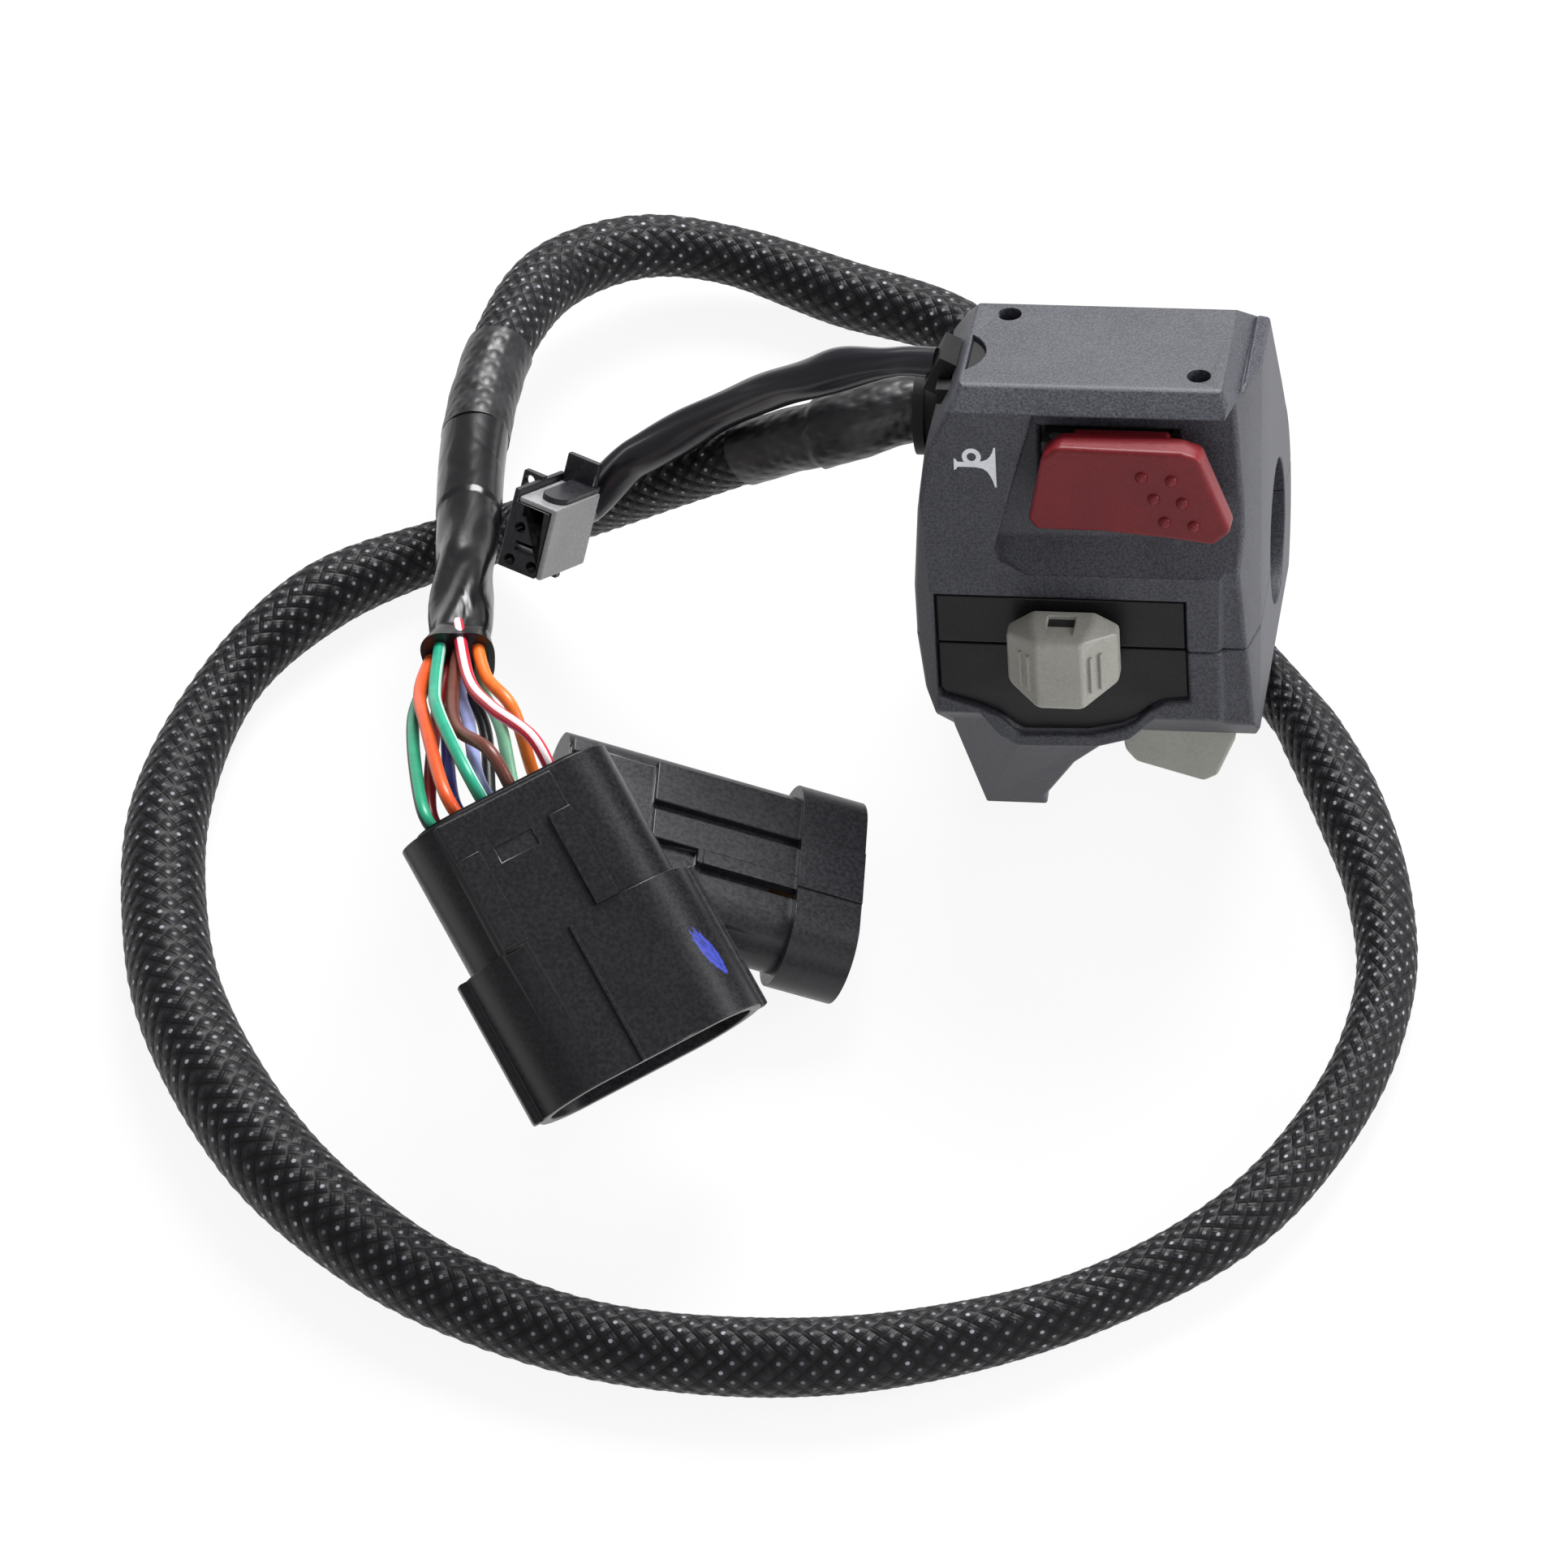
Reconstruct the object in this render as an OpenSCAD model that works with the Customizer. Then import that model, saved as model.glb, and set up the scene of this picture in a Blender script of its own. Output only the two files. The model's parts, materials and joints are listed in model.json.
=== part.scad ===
// Handlebar switch cluster: a split case that clamps on the bar, with a horn button,
// a turn switch, a select trigger and a sleeved harness that ends in connectors.
// X runs along the bar, Y away from the switch face, Z up from the table it lies on.

/* [Handlebar] */
// Diameter of the bar that the case clamps on
bar_d = 22.2; // [21.8:0.1:22.8]
// Radial room between the bar and the clamp bore
bar_fit = 0.05; // [0:0.01:0.1]
// Wall of the saddle around the bar
saddle_wall = 2.6; // [2:0.1:3]

/* [Case] */
// Length of the case along the bar
case_len = 51; // [50:0.5:54]
// From the bar axis to the front face
case_front = 34; // [33.5:0.1:35]
// From the bar axis to the top face
case_top = 42.5; // [42:0.1:44]
// Radius of the barrel behind the bar
case_back = 20.5; // [20:0.1:22]
// From the bar axis to the underside
case_bottom = 25; // [24:0.1:25.2]
// Wall of the case
wall = 2.4; // [2:0.1:2.8]
// Backward lean of the case as it lies
lean_deg = 16; // [14:0.5:18]
// Height of the bar axis above the table
table_drop = 32.8; // [32.6:0.1:34]
// Depth of the horn pocket at its floor
pocket_depth = 6; // [5:0.1:6.4]
// Radius of the two blind screw cores in the top
core_r = 1.8; // [1.4:0.1:2]
// Depth of the blind screw cores
core_depth = 10; // [7:0.5:12]

/* [Bezel] */
// Width of the turn switch bezel
bezel_w = 37.5; // [37:0.1:38]
// Height of the bezel above the split
bezel_up = 8.5; // [8:0.1:9]
// Thickness of the bezel plates
bezel_t = 1.6; // [1.2:0.1:1.8]
// How far the bezel lies below the front face
bezel_sink = 0.8; // [0.5:0.1:1]
// Gap around the bezel
bezel_gap = 0.25; // [0.15:0.05:0.4]

/* [Horn button] */
// Width of the button paddle
horn_w = 30; // [28:0.5:30.5]
// Height of the button paddle
horn_h = 15.5; // [14.5:0.5:16]
// Thickness of the paddle
horn_t = 4.4; // [3.5:0.1:4.8]
// Outward turn of the paddle at rest
horn_splay = 3; // [1:0.5:4]
// Diameter of the hinge pin
horn_pin_d = 2; // [1.6:0.1:2.4]
// Diameter of the bumps on the paddle
bump_d = 1.8; // [1.2:0.1:2.2]

/* [Turn switch] */
// Width of the knob
knob_w = 16.6; // [15.5:0.1:17]
// Height of the knob
knob_h = 15.2; // [14.5:0.1:15.4]
// How far the knob stands out of the bezel
knob_out = 9.9; // [9:0.1:11]
// Width of the ridge on the knob
ridge_w = 6.7; // [5.5:0.1:7.5]
// Slide each way from the middle
turn_travel = 3.5; // [3:0.1:3.8]
// Push of the knob to cancel
push_travel = 2; // [1.5:0.1:2.2]
// Width of the knob stem
stem_w = 7; // [6:0.1:7.4]
// Height of the knob stem
stem_h = 6; // [5:0.1:6.4]

/* [Select trigger] */
// Width of the trigger
trigger_w = 17; // [15:0.5:17.5]
// How far the trigger tip reaches below its pivot
trigger_drop = 13.2; // [12:0.1:14]
// Thickness of the trigger plate
trigger_t = 3.4; // [2.8:0.1:3.6]
// Diameter of the trigger pivot pin
trigger_pin_d = 2.6; // [2:0.1:3]

/* [Fasteners] */
// Diameter of the case screw shanks
screw_d = 3.4; // [3:0.1:3.5]
// Diameter of the case screw heads
screw_head_d = 6.8; // [6:0.1:7]
// Height of the case screw heads
screw_head_h = 3.2; // [2.6:0.1:3.4]
// Distance of each case screw from the middle of the case
screw_x = 15; // [12:0.5:17]

/* [Main connector] */
// Width of the connector hood
main_w = 37; // [36:0.5:39]
// Height of the connector hood
main_h = 20; // [19:0.5:21]
// Length of the rear body
main_rear_len = 21.5; // [21:0.5:22]
// Length of the hood
main_hood_len = 23.3; // [22:0.1:24]
// Wall of the hood
main_wall = 1.8; // [1.4:0.1:2.2]
// Downward tilt of the connector
main_tilt = 30; // [29:0.5:31]

/* [Second connector] */
// Width of the collar
second_w = 35; // [34:0.5:36]
// Height of the collar
second_h = 15.5; // [15:0.1:15.8]
// Length of the connector
second_len = 47; // [46:0.5:48]
// Length of the collar
second_collar = 10.3; // [9:0.1:11]
// Wall of the collar
second_wall = 2; // [1.5:0.1:2.2]
// Downward tilt of the connector
second_tilt = 26; // [25:0.5:27]

/* [Lead connector] */
// Width of the small connector
lead_w = 7.5; // [7:0.1:8.5]
// Height of the small connector
lead_h = 11.5; // [11:0.1:12]
// Length of the small connector
lead_len = 14.5; // [14:0.1:15]

/* [Harness] */
// Diameter of each wire
wire_d = 2; // [1.6:0.1:2]
// Diameter of the contact pins
pin_d = 1.2; // [0.9:0.1:1.4]

/* [Fits] */
// Play between sliding faces
play = 0.3; // [0.25:0.05:0.35]
// Radial play of a pin in its hole
pin_play = 0.05; // [0.03:0.01:0.08]
// Radial play of a rubber plug in its hole
plug_play = 0.1; // [0.05:0.05:0.2]

/* [Hidden] */
$fn = 64;
far = 100;
half_len = case_len / 2;
bore_r = bar_d / 2 + bar_fit;
saddle_r = bore_r + saddle_wall;
table_z = -table_drop;

// Side outline of the case: Y and Z in the case's own upright frame
front_y = -case_front;
front_draft = 1.8;
brow_depth = 3.4;
brow_rise = 2.9;
top_depth = 22.8;
brow_z = case_top - brow_rise;
brow_y = front_y + front_draft;
top_front_y = brow_y + brow_depth;
top_back_y = top_front_y + top_depth;
back_run = 5;
back_fall = 4.2;
nape = [9, 24];
barrel_up_deg = 40.8;
barrel_down_deg = -70;
upper_side = [
  [front_y, 0], [brow_y, brow_z], [top_front_y, case_top], [top_back_y, case_top],
  [top_back_y + back_run, case_top - back_fall], nape,
  case_back * [cos(barrel_up_deg), sin(barrel_up_deg)], [0, 0]
];
chin_z = -12;
chin_run = 5.8;
chin_fall = 6;
belly_front = -18.5;
belly_rise = 3.2;
belly_mid = -8.2;
belly_sag = 0.4;
lower_side = [
  [front_y, 0], [front_y, chin_z], [front_y + chin_run, chin_z - chin_fall],
  [belly_front, -case_bottom + belly_rise], [belly_mid, -case_bottom + belly_sag], [-1, -case_bottom],
  [4, -case_bottom + 2.4], case_back * [cos(barrel_down_deg), sin(barrel_down_deg)], [0, 0]
];

// End outline of the case: X and Z
shoulder_l = 7.9;
shoulder_r = 4.4;
rim_in = [2.1, 1.7];
rim_fall = [3.4, 3, 4.2];
flank_z = [8, 22, 33];
flank_in = [0, 1.3, 3];
keel_z = [-8.7, -18];
keel_in = [1, 4.8, 6];
keel_r = 3.5;
keel_r_z = -15;
upper_end = [
  [-half_len, 0], for (i = [0:2]) [-half_len + flank_in[i], flank_z[i]],
  [-half_len + shoulder_l, case_top], [half_len - shoulder_r, case_top],
  [half_len - rim_in[0], case_top - rim_fall[0]], [half_len - rim_in[1], case_top - rim_fall[1]],
  [half_len, case_top - rim_fall[2]], [half_len, 0]
];
lower_end = [
  [-half_len, 0], [-half_len + keel_in[0], keel_z[0]], [-half_len + keel_in[1], keel_z[1]],
  [-half_len + keel_in[2], -far], [half_len - keel_r, -far], [half_len - keel_r, -23],
  [half_len - 1.2, -19], [half_len, keel_r_z], [half_len, 0]
];
cheek_l = 3.2;
facet_yaw = 12;
facet_rise = 3.4;
facet_x = half_len - 1.7;
strip_x = 19.3;
strip_sink = 1.2;
strip_ramp = 1.6;
strip_z = 17;

// Places of the screw cores in the top: X and Y
cores = [[-12.4, -9], [17.4, -24.9]];

// Lug under the case: its side and its front
lug_top = -14;
lug_side = [[front_y + 2.5, lug_top], [-17.5, -40.5], [-11, -40.5], [-7, -22], [-7, lug_top]];
lug_face = [
  [-20.9, lug_top], [-20.7, -17.3], [-18, -41], [-9, -41], [-9, -37],
  [-3.5, -27], [3.2, -19.5], [3.2, lug_top]
];
chin_face = [[-17, chin_z + 1], [-13, -16.5], [-10.5, -18], [1, -17.7], [6, -16.2], [11.5, chin_z + 1]];
chin_depth = 7;

// Horn pocket and hinge
pocket_z0 = 12.6;
pocket_z1 = 39.4;
pocket_y = brow_y + pocket_depth - 1.3;
pocket_side = [
  [-far, pocket_z0], [front_y + 0.7, pocket_z0], [pocket_y - 2, pocket_z0 + 5],
  [pocket_y - 0.7, pocket_z0 + 9.5], [pocket_y, pocket_z1], [-far, pocket_z1]
];
pocket_face = [
  [-6.3, pocket_z1], [-12.7, 17], [-12.2, 14.8], [-8.2, pocket_z0], [far, pocket_z0], [far, pocket_z1]
];
horn_x0 = -6.8;
horn_x1 = horn_x0 + horn_w;
horn_z0 = 21.2;
horn_z1 = horn_z0 + horn_h;
horn_y = front_y - 2.2;
hinge_x = -3.4;
hinge_y = -29.4;
hinge_r = 2.1;
hinge_room = 0.6;
ear_t = 1.8;
ear_w = 1.9;
ear_z0 = 24;
ear_z1 = 34.4;
window_x1 = 14.4;
block_x0 = hinge_x + hinge_r + hinge_room;
block_x1 = 13.6;
block_y0 = horn_y + horn_t - 1.6;
block_y1 = hinge_y + 0.8;
neck_y1 = hinge_y - 0.9;
horn_back_y = pocket_y + wall - 0.4;
horn_base_depth = 9;
horn_base_x0 = -7;
horn_base_z0 = 22.4;
horn_base_z1 = 36;
spring_x = 9;
spring_z = (ear_z0 + ear_z1) / 2;
spring_seat = 1.2;
spring_r = 2.5;
seat_r = 3;
contact_x0 = 11.2;
contact_z = [24.8, 31.4];
contact_w = 2.2;
contact_t = 1.2;
bumps = [[10.3, 32.3], [14.7, 32], [12, 28.7], [16.2, 28.3], [13.5, 24.8], [17.8, 24.4]];

// Turn switch
knob_x = -2.6;
knob_z = 0.2;
bezel_x0 = -22.2;
bezel_x1 = bezel_x0 + bezel_w;
bezel_front = front_y + bezel_sink;
ledge_y = bezel_front + bezel_t;
ledge_back = ledge_y + 1.8;
ledge_w = 2.6;
mouth_z = 6.5;
mouth_depth = 5;
bezel_dip = -8;
scoop_z = -16;
scoop_floor = 0.7;
plate_y0 = ledge_y + play;
plate_y1 = plate_y0 + 1.5;
carriage_w = 16;
carriage_h = 10;
carriage_y1 = -22.8;
turn_base_y = carriage_y1 + play;
turn_base_back = -(saddle_r + 1.8);
slot_w = stem_w + 2 * turn_travel + 2 * play;
stem_end = -29;
socket_floor = stem_end + push_travel + 1.2;
ball_d = 2;
ball_x = knob_x + stem_w / 2 + 2.3;
ball_y = turn_base_y - 0.1 - ball_d / 2;
detent_y0 = -28.2;
detent_r = 1.4;
turn_base_x0 = -18.5;
turn_base_x1 = 13.3;
turn_base_z0 = -9;
turn_base_z1 = 7.5;
rail_t = 1.8;
board_x0 = -15;
board_w = 21;
board_t = 0.8;
board_z0 = -4.6;
board_h = 2.4;
wiper_x0 = knob_x - 7;
wiper_w = 8;
wiper_z0 = -4.3;
wiper_h = 1.8;
knob_base_y = bezel_front - play - push_travel;
knob_front_y = bezel_front - knob_out;

// Select trigger
pivot_y = -22.5;
pivot_z = -15;
trigger_x0 = 4.1;
trigger_x1 = trigger_x0 + trigger_w;
trigger_y0 = -26.6;
trigger_barrel_x1 = trigger_x0 + 11;
barrel_r = 3;
coil_out = 0.9;
coil_wire = 0.6;
bracket_t = 2;
bracket_y0 = -25.5;
bracket_y1 = -19.5;
bracket_z1 = -12;
trigger_room = 0.8;
trigger_room_r = 0.6;
web_x0 = trigger_x0 + 4;
web_h = 5;
base_ribs = [-15, -2.2];
base_rib_w = 3.4;
base_rib_y0 = -21;
base_rib_y1 = -17;

// Cable exits in the left end
exit_y = -7;
exit_z = 24.7;
grommet_r = 6;
exit_bore_r = 4.5;
plug_r = 5.7;
plug_x = -20.4;
plug_y = -19.9;
plug_z = 36.2;
plug_key_w = 3;
plug_key_down = 1;
plug_key_up = 1.5;
fin_x = -16.9;
block_out = 2.8;
block_y = [0.5, 8];
block_z = [1.5, 7.5];
shoulder_x = -half_len + flank_in[2];
shoulder_slope = atan2(shoulder_l - flank_in[2], case_top - flank_z[2]);
exit_depth = 6;
grommet_len = 5;
collar_t = 1.6;
collar_out = 1.2;

// Case screws
screw_y = 16;
screw_seat = -7;
screw_reach = 10;

// Places of the connectors on the table
main_yaw = -52.3;
main_len = main_rear_len + main_hood_len;
main_pos = [-81.5, -69.1, 14.3];
main_rear_w = main_w - 3;
main_rear_h = main_h - 3;
main_seal_w = 28;
main_seal_h = 10;
main_seal_depth = 3;
main_pin_sink = 10;
main_deck = main_rear_h / 2 + 1.4;
main_deck_x = 0.6;
main_deck_y = [-13.2, 5.9];
main_deck_over = 0.6;
main_lock_x = 7.2;
main_lock_len = 2.3;
main_lock_y = [-7, -0.9];
main_plate_x0 = 6.6;
main_plate_w = 3.9;
main_plate_up = 0.7;
main_ridge_y = -3.3;
main_ridge_w = 0.7;
main_ridge_up = 0.5;
main_rib_out = 1.2;
main_rib_t = 1;
main_floor = 3;
main_pin_gap = 4.6;
main_pin_row = 3;
seal_out = 0.8;
lock_sink = 1.2;
lock_t = 0.8;
second_yaw = 3.6;
second_pos = [-78.4, -57.1,
  table_z + second_len * sin(second_tilt) + second_h / 2 * cos(second_tilt) + 0.1];
second_body_w = second_w - 3.8;
second_body_h = second_h - 3.8;
second_socket = 14;
second_pin_sink = 8;
second_seal_w = 20;
second_seal_h = 7;
second_seal_depth = 3;
second_rail_up = 1.2;
second_rail_far = [3.6, 11];
second_rail_near = [-3.5, 1.9];
second_rail_x = 13.7;
second_lock_x = 22;
second_lock_y = [-5.9, -3.5];
second_lock_down = 0.4;
second_tab_x = [0.3, 3.8];
second_tab_y = [8.4, 11];
second_band_up = 0.35;
second_pin_y = [-9, -3, 3, 9];
second_pin_z = [-2.2, 2.2];
second_top = second_body_h / 2;
second_body_len = second_len - second_collar;
lead_pos = [-80.9, -8, 6.7];
lead_turn = [-2.5, -34.7, -111.9];
lead_slot_w = 3.2;
lead_slot_h = 1.3;
lead_slot_z = [-1.7, 3.8];
lead_slot_depth = 8;
lead_blade_h = 0.5;
lead_blade_sink = 1.2;
lead_hole_r = 0.9;
lead_hole_depth = 5;
lead_holes = [[-1.4, 1.2], [-1.9, -4.2], [1.9, -4.1]];
lead_cover_t = 0.9;
lead_seam = 0.3;
flange_x = [6, 7.2];
flange_y = -6.4;
flange_z = [-4.5, 7.4];
flange_hole = [-5.1, 5.9];
foot_y = [0.5, 2.9];
foot_down = 1.4;
tongue_y = 1.2;
tongue_w = 4.2;
tongue_x = 10;
tongue_t = 0.9;
thumb_t = 1.2;
thumb_w = 5.6;
thumb_up = 4.6;
lip_w = 0.9;
lip_up = 1.1;

// Route of the harness: X, Y, Z and radius
harness = [
  [-20, 0.1, 25.7, 4.2], [-27.8, -0.3, 25.7, 4.3], [-37.4, -2.6, 24, 4.6],
  [-48.2, -1.7, 18.5, 4.5], [-54.2, -0.8, 15, 4.6], [-66.7, 1.8, 6, 4.6],
  [-79.8, 5.7, -5, 4.5], [-95.6, 13.4, -20.5, 4.6], [-109.7, 15.1, -28, 4.7],
  [-126.4, 3.8, -27.2, 5.5], [-138.4, -14.1, -27.7, 5], [-142.9, -40, -26.5, 6.2],
  [-139.2, -65, -26.1, 6.6], [-131.6, -84.4, -25.7, 7], [-116.8, -105.7, -25.6, 7.1],
  [-99.9, -120.5, -26.1, 6.6], [-83, -129.8, -26.7, 6], [-62, -136.1, -27, 5.7],
  [-37.3, -137.5, -26.9, 5.8], [-14.6, -133.5, -27.3, 5.4], [8.2, -123.8, -28, 4.7],
  [28.6, -107.9, -27.9, 4.8], [41, -86.4, -28.1, 4.6], [45.6, -65.2, -28.2, 4.5],
  [43.4, -47.3, -27.8, 4.9], [37.8, -31.6, -27.3, 5.4], [31.6, -18.5, -27.7, 5],
  [26.9, -10.6, -28.3, 4.4], [12.4, 8, -28.5, 4.2], [-2.2, 26.6, -28.4, 4.3],
  [-16.7, 45.2, -28.2, 4.5], [-31.3, 63.8, -27.8, 4.9], [-51.9, 70.8, -26.5, 5.4],
  [-71.1, 76.2, -24, 4.8], [-85.8, 74.5, -21, 5.2], [-98.1, 64.4, -18.5, 5.6],
  [-102.6, 44.5, -14, 5], [-102.7, 23.2, -10.5, 5], [-99.9, 0.8, -6, 4.8],
  [-98.5, -9.6, -3.5, 4.6], [-96.9, -20, -0.8, 4.6], [-95.7, -29.5, 1.5, 4.5]
];
exit_tape_end = 4;
sleeve_end = 36;
end_tape_end = 37;
wrap_end = len(harness) - 1;
harness_sides = 10;

// Route of the small lead: X, Y, Z and radius
lead = [
  [-22.8, -4.2, 40.2, 2.2], [-27.2, -3.7, 39.9, 2.2], [-30.6, -3.7, 39.3, 2.4], [-37, -2.9, 37, 3.2],
  [-42.2, -2.4, 34, 3.1], [-49, -1, 29.5, 2.9], [-55.9, 0.3, 24, 2.9], [-62.5, 0.1, 19.4, 3.1],
  [-69.2, -0.5, 14.6, 3.2], [-73.1, -1.3, 11.8, 3], [-79, -4.5, 6.3, 2.8], [-80.3, -7.9, 8.5, 2.4]
];
lead_sides = 8;

// Wires: each with its start in the bundle and its end at a connector seal
wire_green_left_route = [
  [-98.1, -28.9, -1.1], [-100.1, -41.5, 2.5], [-97.8, -55.1, 9.5],
  [-92.4, -74, 17.5], [-89.7, -77.4, 15]
];
wire_orange_left_route = [
  [-99.2, -28.5, 1.1], [-99.1, -42.4, 6.5], [-95.4, -54.8, 13],
  [-89.6, -71, 18.4], [-86.4, -75.1, 15.4]
];
wire_green_mid_route = [
  [-98.3, -27.8, 3.4], [-96.3, -43.6, 9], [-93.3, -54, 15],
  [-86.7, -67.7, 18.9], [-83, -72.5, 15.4]
];
wire_dark_red_route = [
  [-97.1, -28.3, 0.8], [-96.4, -42.3, 4.2], [-95, -53.5, 9],
  [-92.1, -71.4, 14.1], [-89.5, -74.8, 11.6]
];
wire_lavender_route = [
  [-95, -28.1, 0.3], [-94, -39.4, 3.2], [-90.2, -50.4, 9],
  [-85.8, -65.5, 14.9], [-82.6, -69.6, 11.9]
];
wire_blue_route = [
  [-95.8, -28.8, -2.1], [-95.8, -40.3, 0.8], [-93.4, -52.4, 7],
  [-89.1, -69.1, 14.2], [-86.5, -72.5, 11.7]
];
wire_brown_route = [
  [-95.6, -27.7, 2.3], [-93.9, -42.8, 7.6], [-90.5, -55.7, 14],
  [-83.7, -64, 19], [-79.4, -69.5, 15]
];
wire_red_white_route = [
  [-96, -27.3, 4.4], [-91.2, -42.7, 9.5], [-85.6, -52.4, 15],
  [-77.9, -60.7, 18.5], [-74.2, -65.4, 15]
];
wire_black_route = [
  [-93.5, -28.3, -1.1], [-92.5, -37.9, 0], [-89.2, -46.1, 1],
  [-85.2, -63.5, -1.6], [-77.1, -63, -5.5]
];
wire_orange_right_route = [
  [-93.6, -27.2, 3.4], [-89.9, -38.3, 5.5], [-84.5, -45.6, 6.5],
  [-81.2, -51.3, -3.3], [-77.7, -51, -5.1]
];
wire_pale_green_route = [
  [-92.6, -27.6, 1.1], [-90.8, -38.3, 2.6], [-86.4, -47.2, 4],
  [-82.8, -57.1, -2.6], [-77.4, -56.7, -5.3]
];
wire_sides = 8;

// Colours
ink = [0.07, 0.07, 0.08];
rubber = [0.1, 0.1, 0.1];
dark_grey = [0.15, 0.15, 0.16];
mid_grey = [0.45, 0.46, 0.47];
pale_grey = [0.62, 0.66, 0.62];
horn_red = [0.35, 0.08, 0.07];
steel = [0.7, 0.7, 0.72];
brass = [0.75, 0.6, 0.3];

function unit(v) = v / norm(v);
function place(p) = [p[0], p[1], p[2]];
function heading(route, i) = unit(
  place(route[min(i + 1, len(route) - 1)]) - place(route[max(i - 1, 0)]));
function ring(route, i, r, sides) =
  let (t = heading(route, i), s = unit(cross(t, [0, 0, 1])), u = cross(s, t))
  [for (k = [0:sides - 1]) place(route[i]) + r * (cos(360 * k / sides) * s + sin(360 * k / sides) * u)];
function radius_at(route, i, r) = len(route[i]) > 3 ? route[i][3] : r;

// A tube along part of a route, one ring at each point
module tube(route, first, last, sides, r = 1) {
  rings = last - first + 1;
  points = [for (i = [first:last]) each ring(route, i, radius_at(route, i, r), sides)];
  walls = [for (i = [0:rings - 2], k = [0:sides - 1], half = [0, 1])
    let (a = i * sides + k, b = i * sides + (k + 1) % sides)
    half == 0 ? [a, b, b + sides] : [a, b + sides, a + sides]];
  start = [for (k = [1:sides - 2]) [0, k + 1, k]];
  end = [for (k = [1:sides - 2]) [0, k, k + 1] + (rings - 1) * sides * [1, 1, 1]];
  polyhedron(points, concat(walls, start, end));
}

module along_x(x0, x1) translate([x0, 0, 0]) rotate([90, 0, 90]) linear_extrude(x1 - x0) children();
module along_y(y0, y1) translate([0, y1, 0]) rotate([90, 0, 0]) linear_extrude(y1 - y0) children();
module along_z(z0, z1) translate([0, 0, z0]) linear_extrude(z1 - z0) children();
module lean() rotate([-lean_deg, 0, 0]) children();
module box(lo, hi) translate(lo) cube(hi - lo);
module rod_x(x0, x1, r) translate([x0, 0, 0]) rotate([0, 90, 0]) cylinder(h = x1 - x0, r = r);
module rod_y(y0, y1, r) translate([0, y0, 0]) rotate([-90, 0, 0]) cylinder(h = y1 - y0, r = r);

// A bar of stadium section along X: width in Y, height in Z
module stadium(x0, x1, w, h) {
  translate([x0, -(w - h) / 2, -h / 2]) cube([x1 - x0, w - h, h]);
  for (side = [-1, 1])
    translate([0, side * (w - h) / 2, 0]) rod_x(x0, x1, h / 2);
}

// A coil spring of square section built from stacked rings on two posts
module coil(length, r, wire, turns) {
  pitch = (length - wire) / turns;
  for (i = [0:turns])
    translate([0, 0, i * pitch]) difference() {
      cylinder(h = wire, r = r);
      translate([0, 0, -wire]) cylinder(h = 3 * wire, r = r - wire);
    }
  for (a = [0, 180])
    rotate([0, 0, a]) translate([r - wire, -wire / 2, 0]) cube([wire, wire, length]);
}

// The outer shape shared by both halves of the case
module half_case(points, z0, z1) {
  intersection() {
    union() {
      along_x(-half_len, half_len) polygon(points);
      rod_x(-half_len, half_len, case_back);
    }
    box([-far, -far, z0], [far, far, z1]);
  }
}
module front_facet() {
  translate([facet_x, front_y, 0]) rotate([0, -facet_rise, -facet_yaw])
    translate([0, -far, -far]) cube(2 * far);
}
module right_strip() {
  along_z(-far, strip_z)
    polygon([[strip_x, front_y - 1], [strip_x + strip_ramp, front_y + strip_sink],
      [far, front_y + strip_sink], [far, front_y - far], [strip_x, front_y - far]]);
}
module plan_limit() {
  along_z(-far, far)
    polygon([[-half_len + cheek_l, -far], [-half_len + cheek_l, front_y],
      [-half_len, front_y + cheek_l], [-half_len, far], [half_len, far], [half_len, -far]]);
}
module bar_bore() rod_x(-far, far, bore_r);

module bezel_outline_up(gap) {
  translate([bezel_x0 + gap, -far]) square([bezel_w - 2 * gap, far + bezel_up - gap]);
}
module bezel_outline_down(gap) {
  polygon([[bezel_x0 + gap, far], [bezel_x0 + gap, bezel_dip], [-21.4 + gap, -9.4 + gap],
    [-16.3, -11.1 + gap],
    [-12.8, -13 + gap], [-11.2, -14.8 + gap], [-9.7, -15.8 + gap], [0.1, -15.5 + gap], [5, -14.2 + gap],
    [7.1, -13 + gap], [9.3, -10.8 + gap], [11.7, -9.2 + gap], [bezel_x1 - gap, -8.6 + gap],
      [bezel_x1 - gap, far]]);
}
module bezel_seat() {
  along_y(-far, ledge_y) intersection() {
    bezel_outline_up(0);
    bezel_outline_down(0);
  }
  box([bezel_x0 + ledge_w, -far, -mouth_z], [bezel_x1 - ledge_w, ledge_back + mouth_depth, mouth_z]);
}

module screw_holes(r, z0, z1) {
  for (side = [-1, 1])
    translate([side * screw_x, screw_y, z0]) cylinder(h = z1 - z0, r = r);
}

module horn_pocket() {
  intersection() {
    along_x(-far, far) polygon(pocket_side);
    along_y(-far, 0) polygon(pocket_face);
  }
}

// Rubber plug of the small lead: a half round in the top and a block on the shoulder
module lead_plug(grow) {
  intersection() {
    translate([plug_x, plug_y, plug_z - grow]) cylinder(h = far, r = plug_r + grow);
    box([fin_x - grow, -far, 0], [far, far, far]);
  }
  box([-far / 4, plug_y - plug_key_w - grow, plug_z - plug_key_down - grow],
    [fin_x + 1.5, plug_y + plug_key_w + grow, plug_z + plug_key_up + grow]);
}

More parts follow.
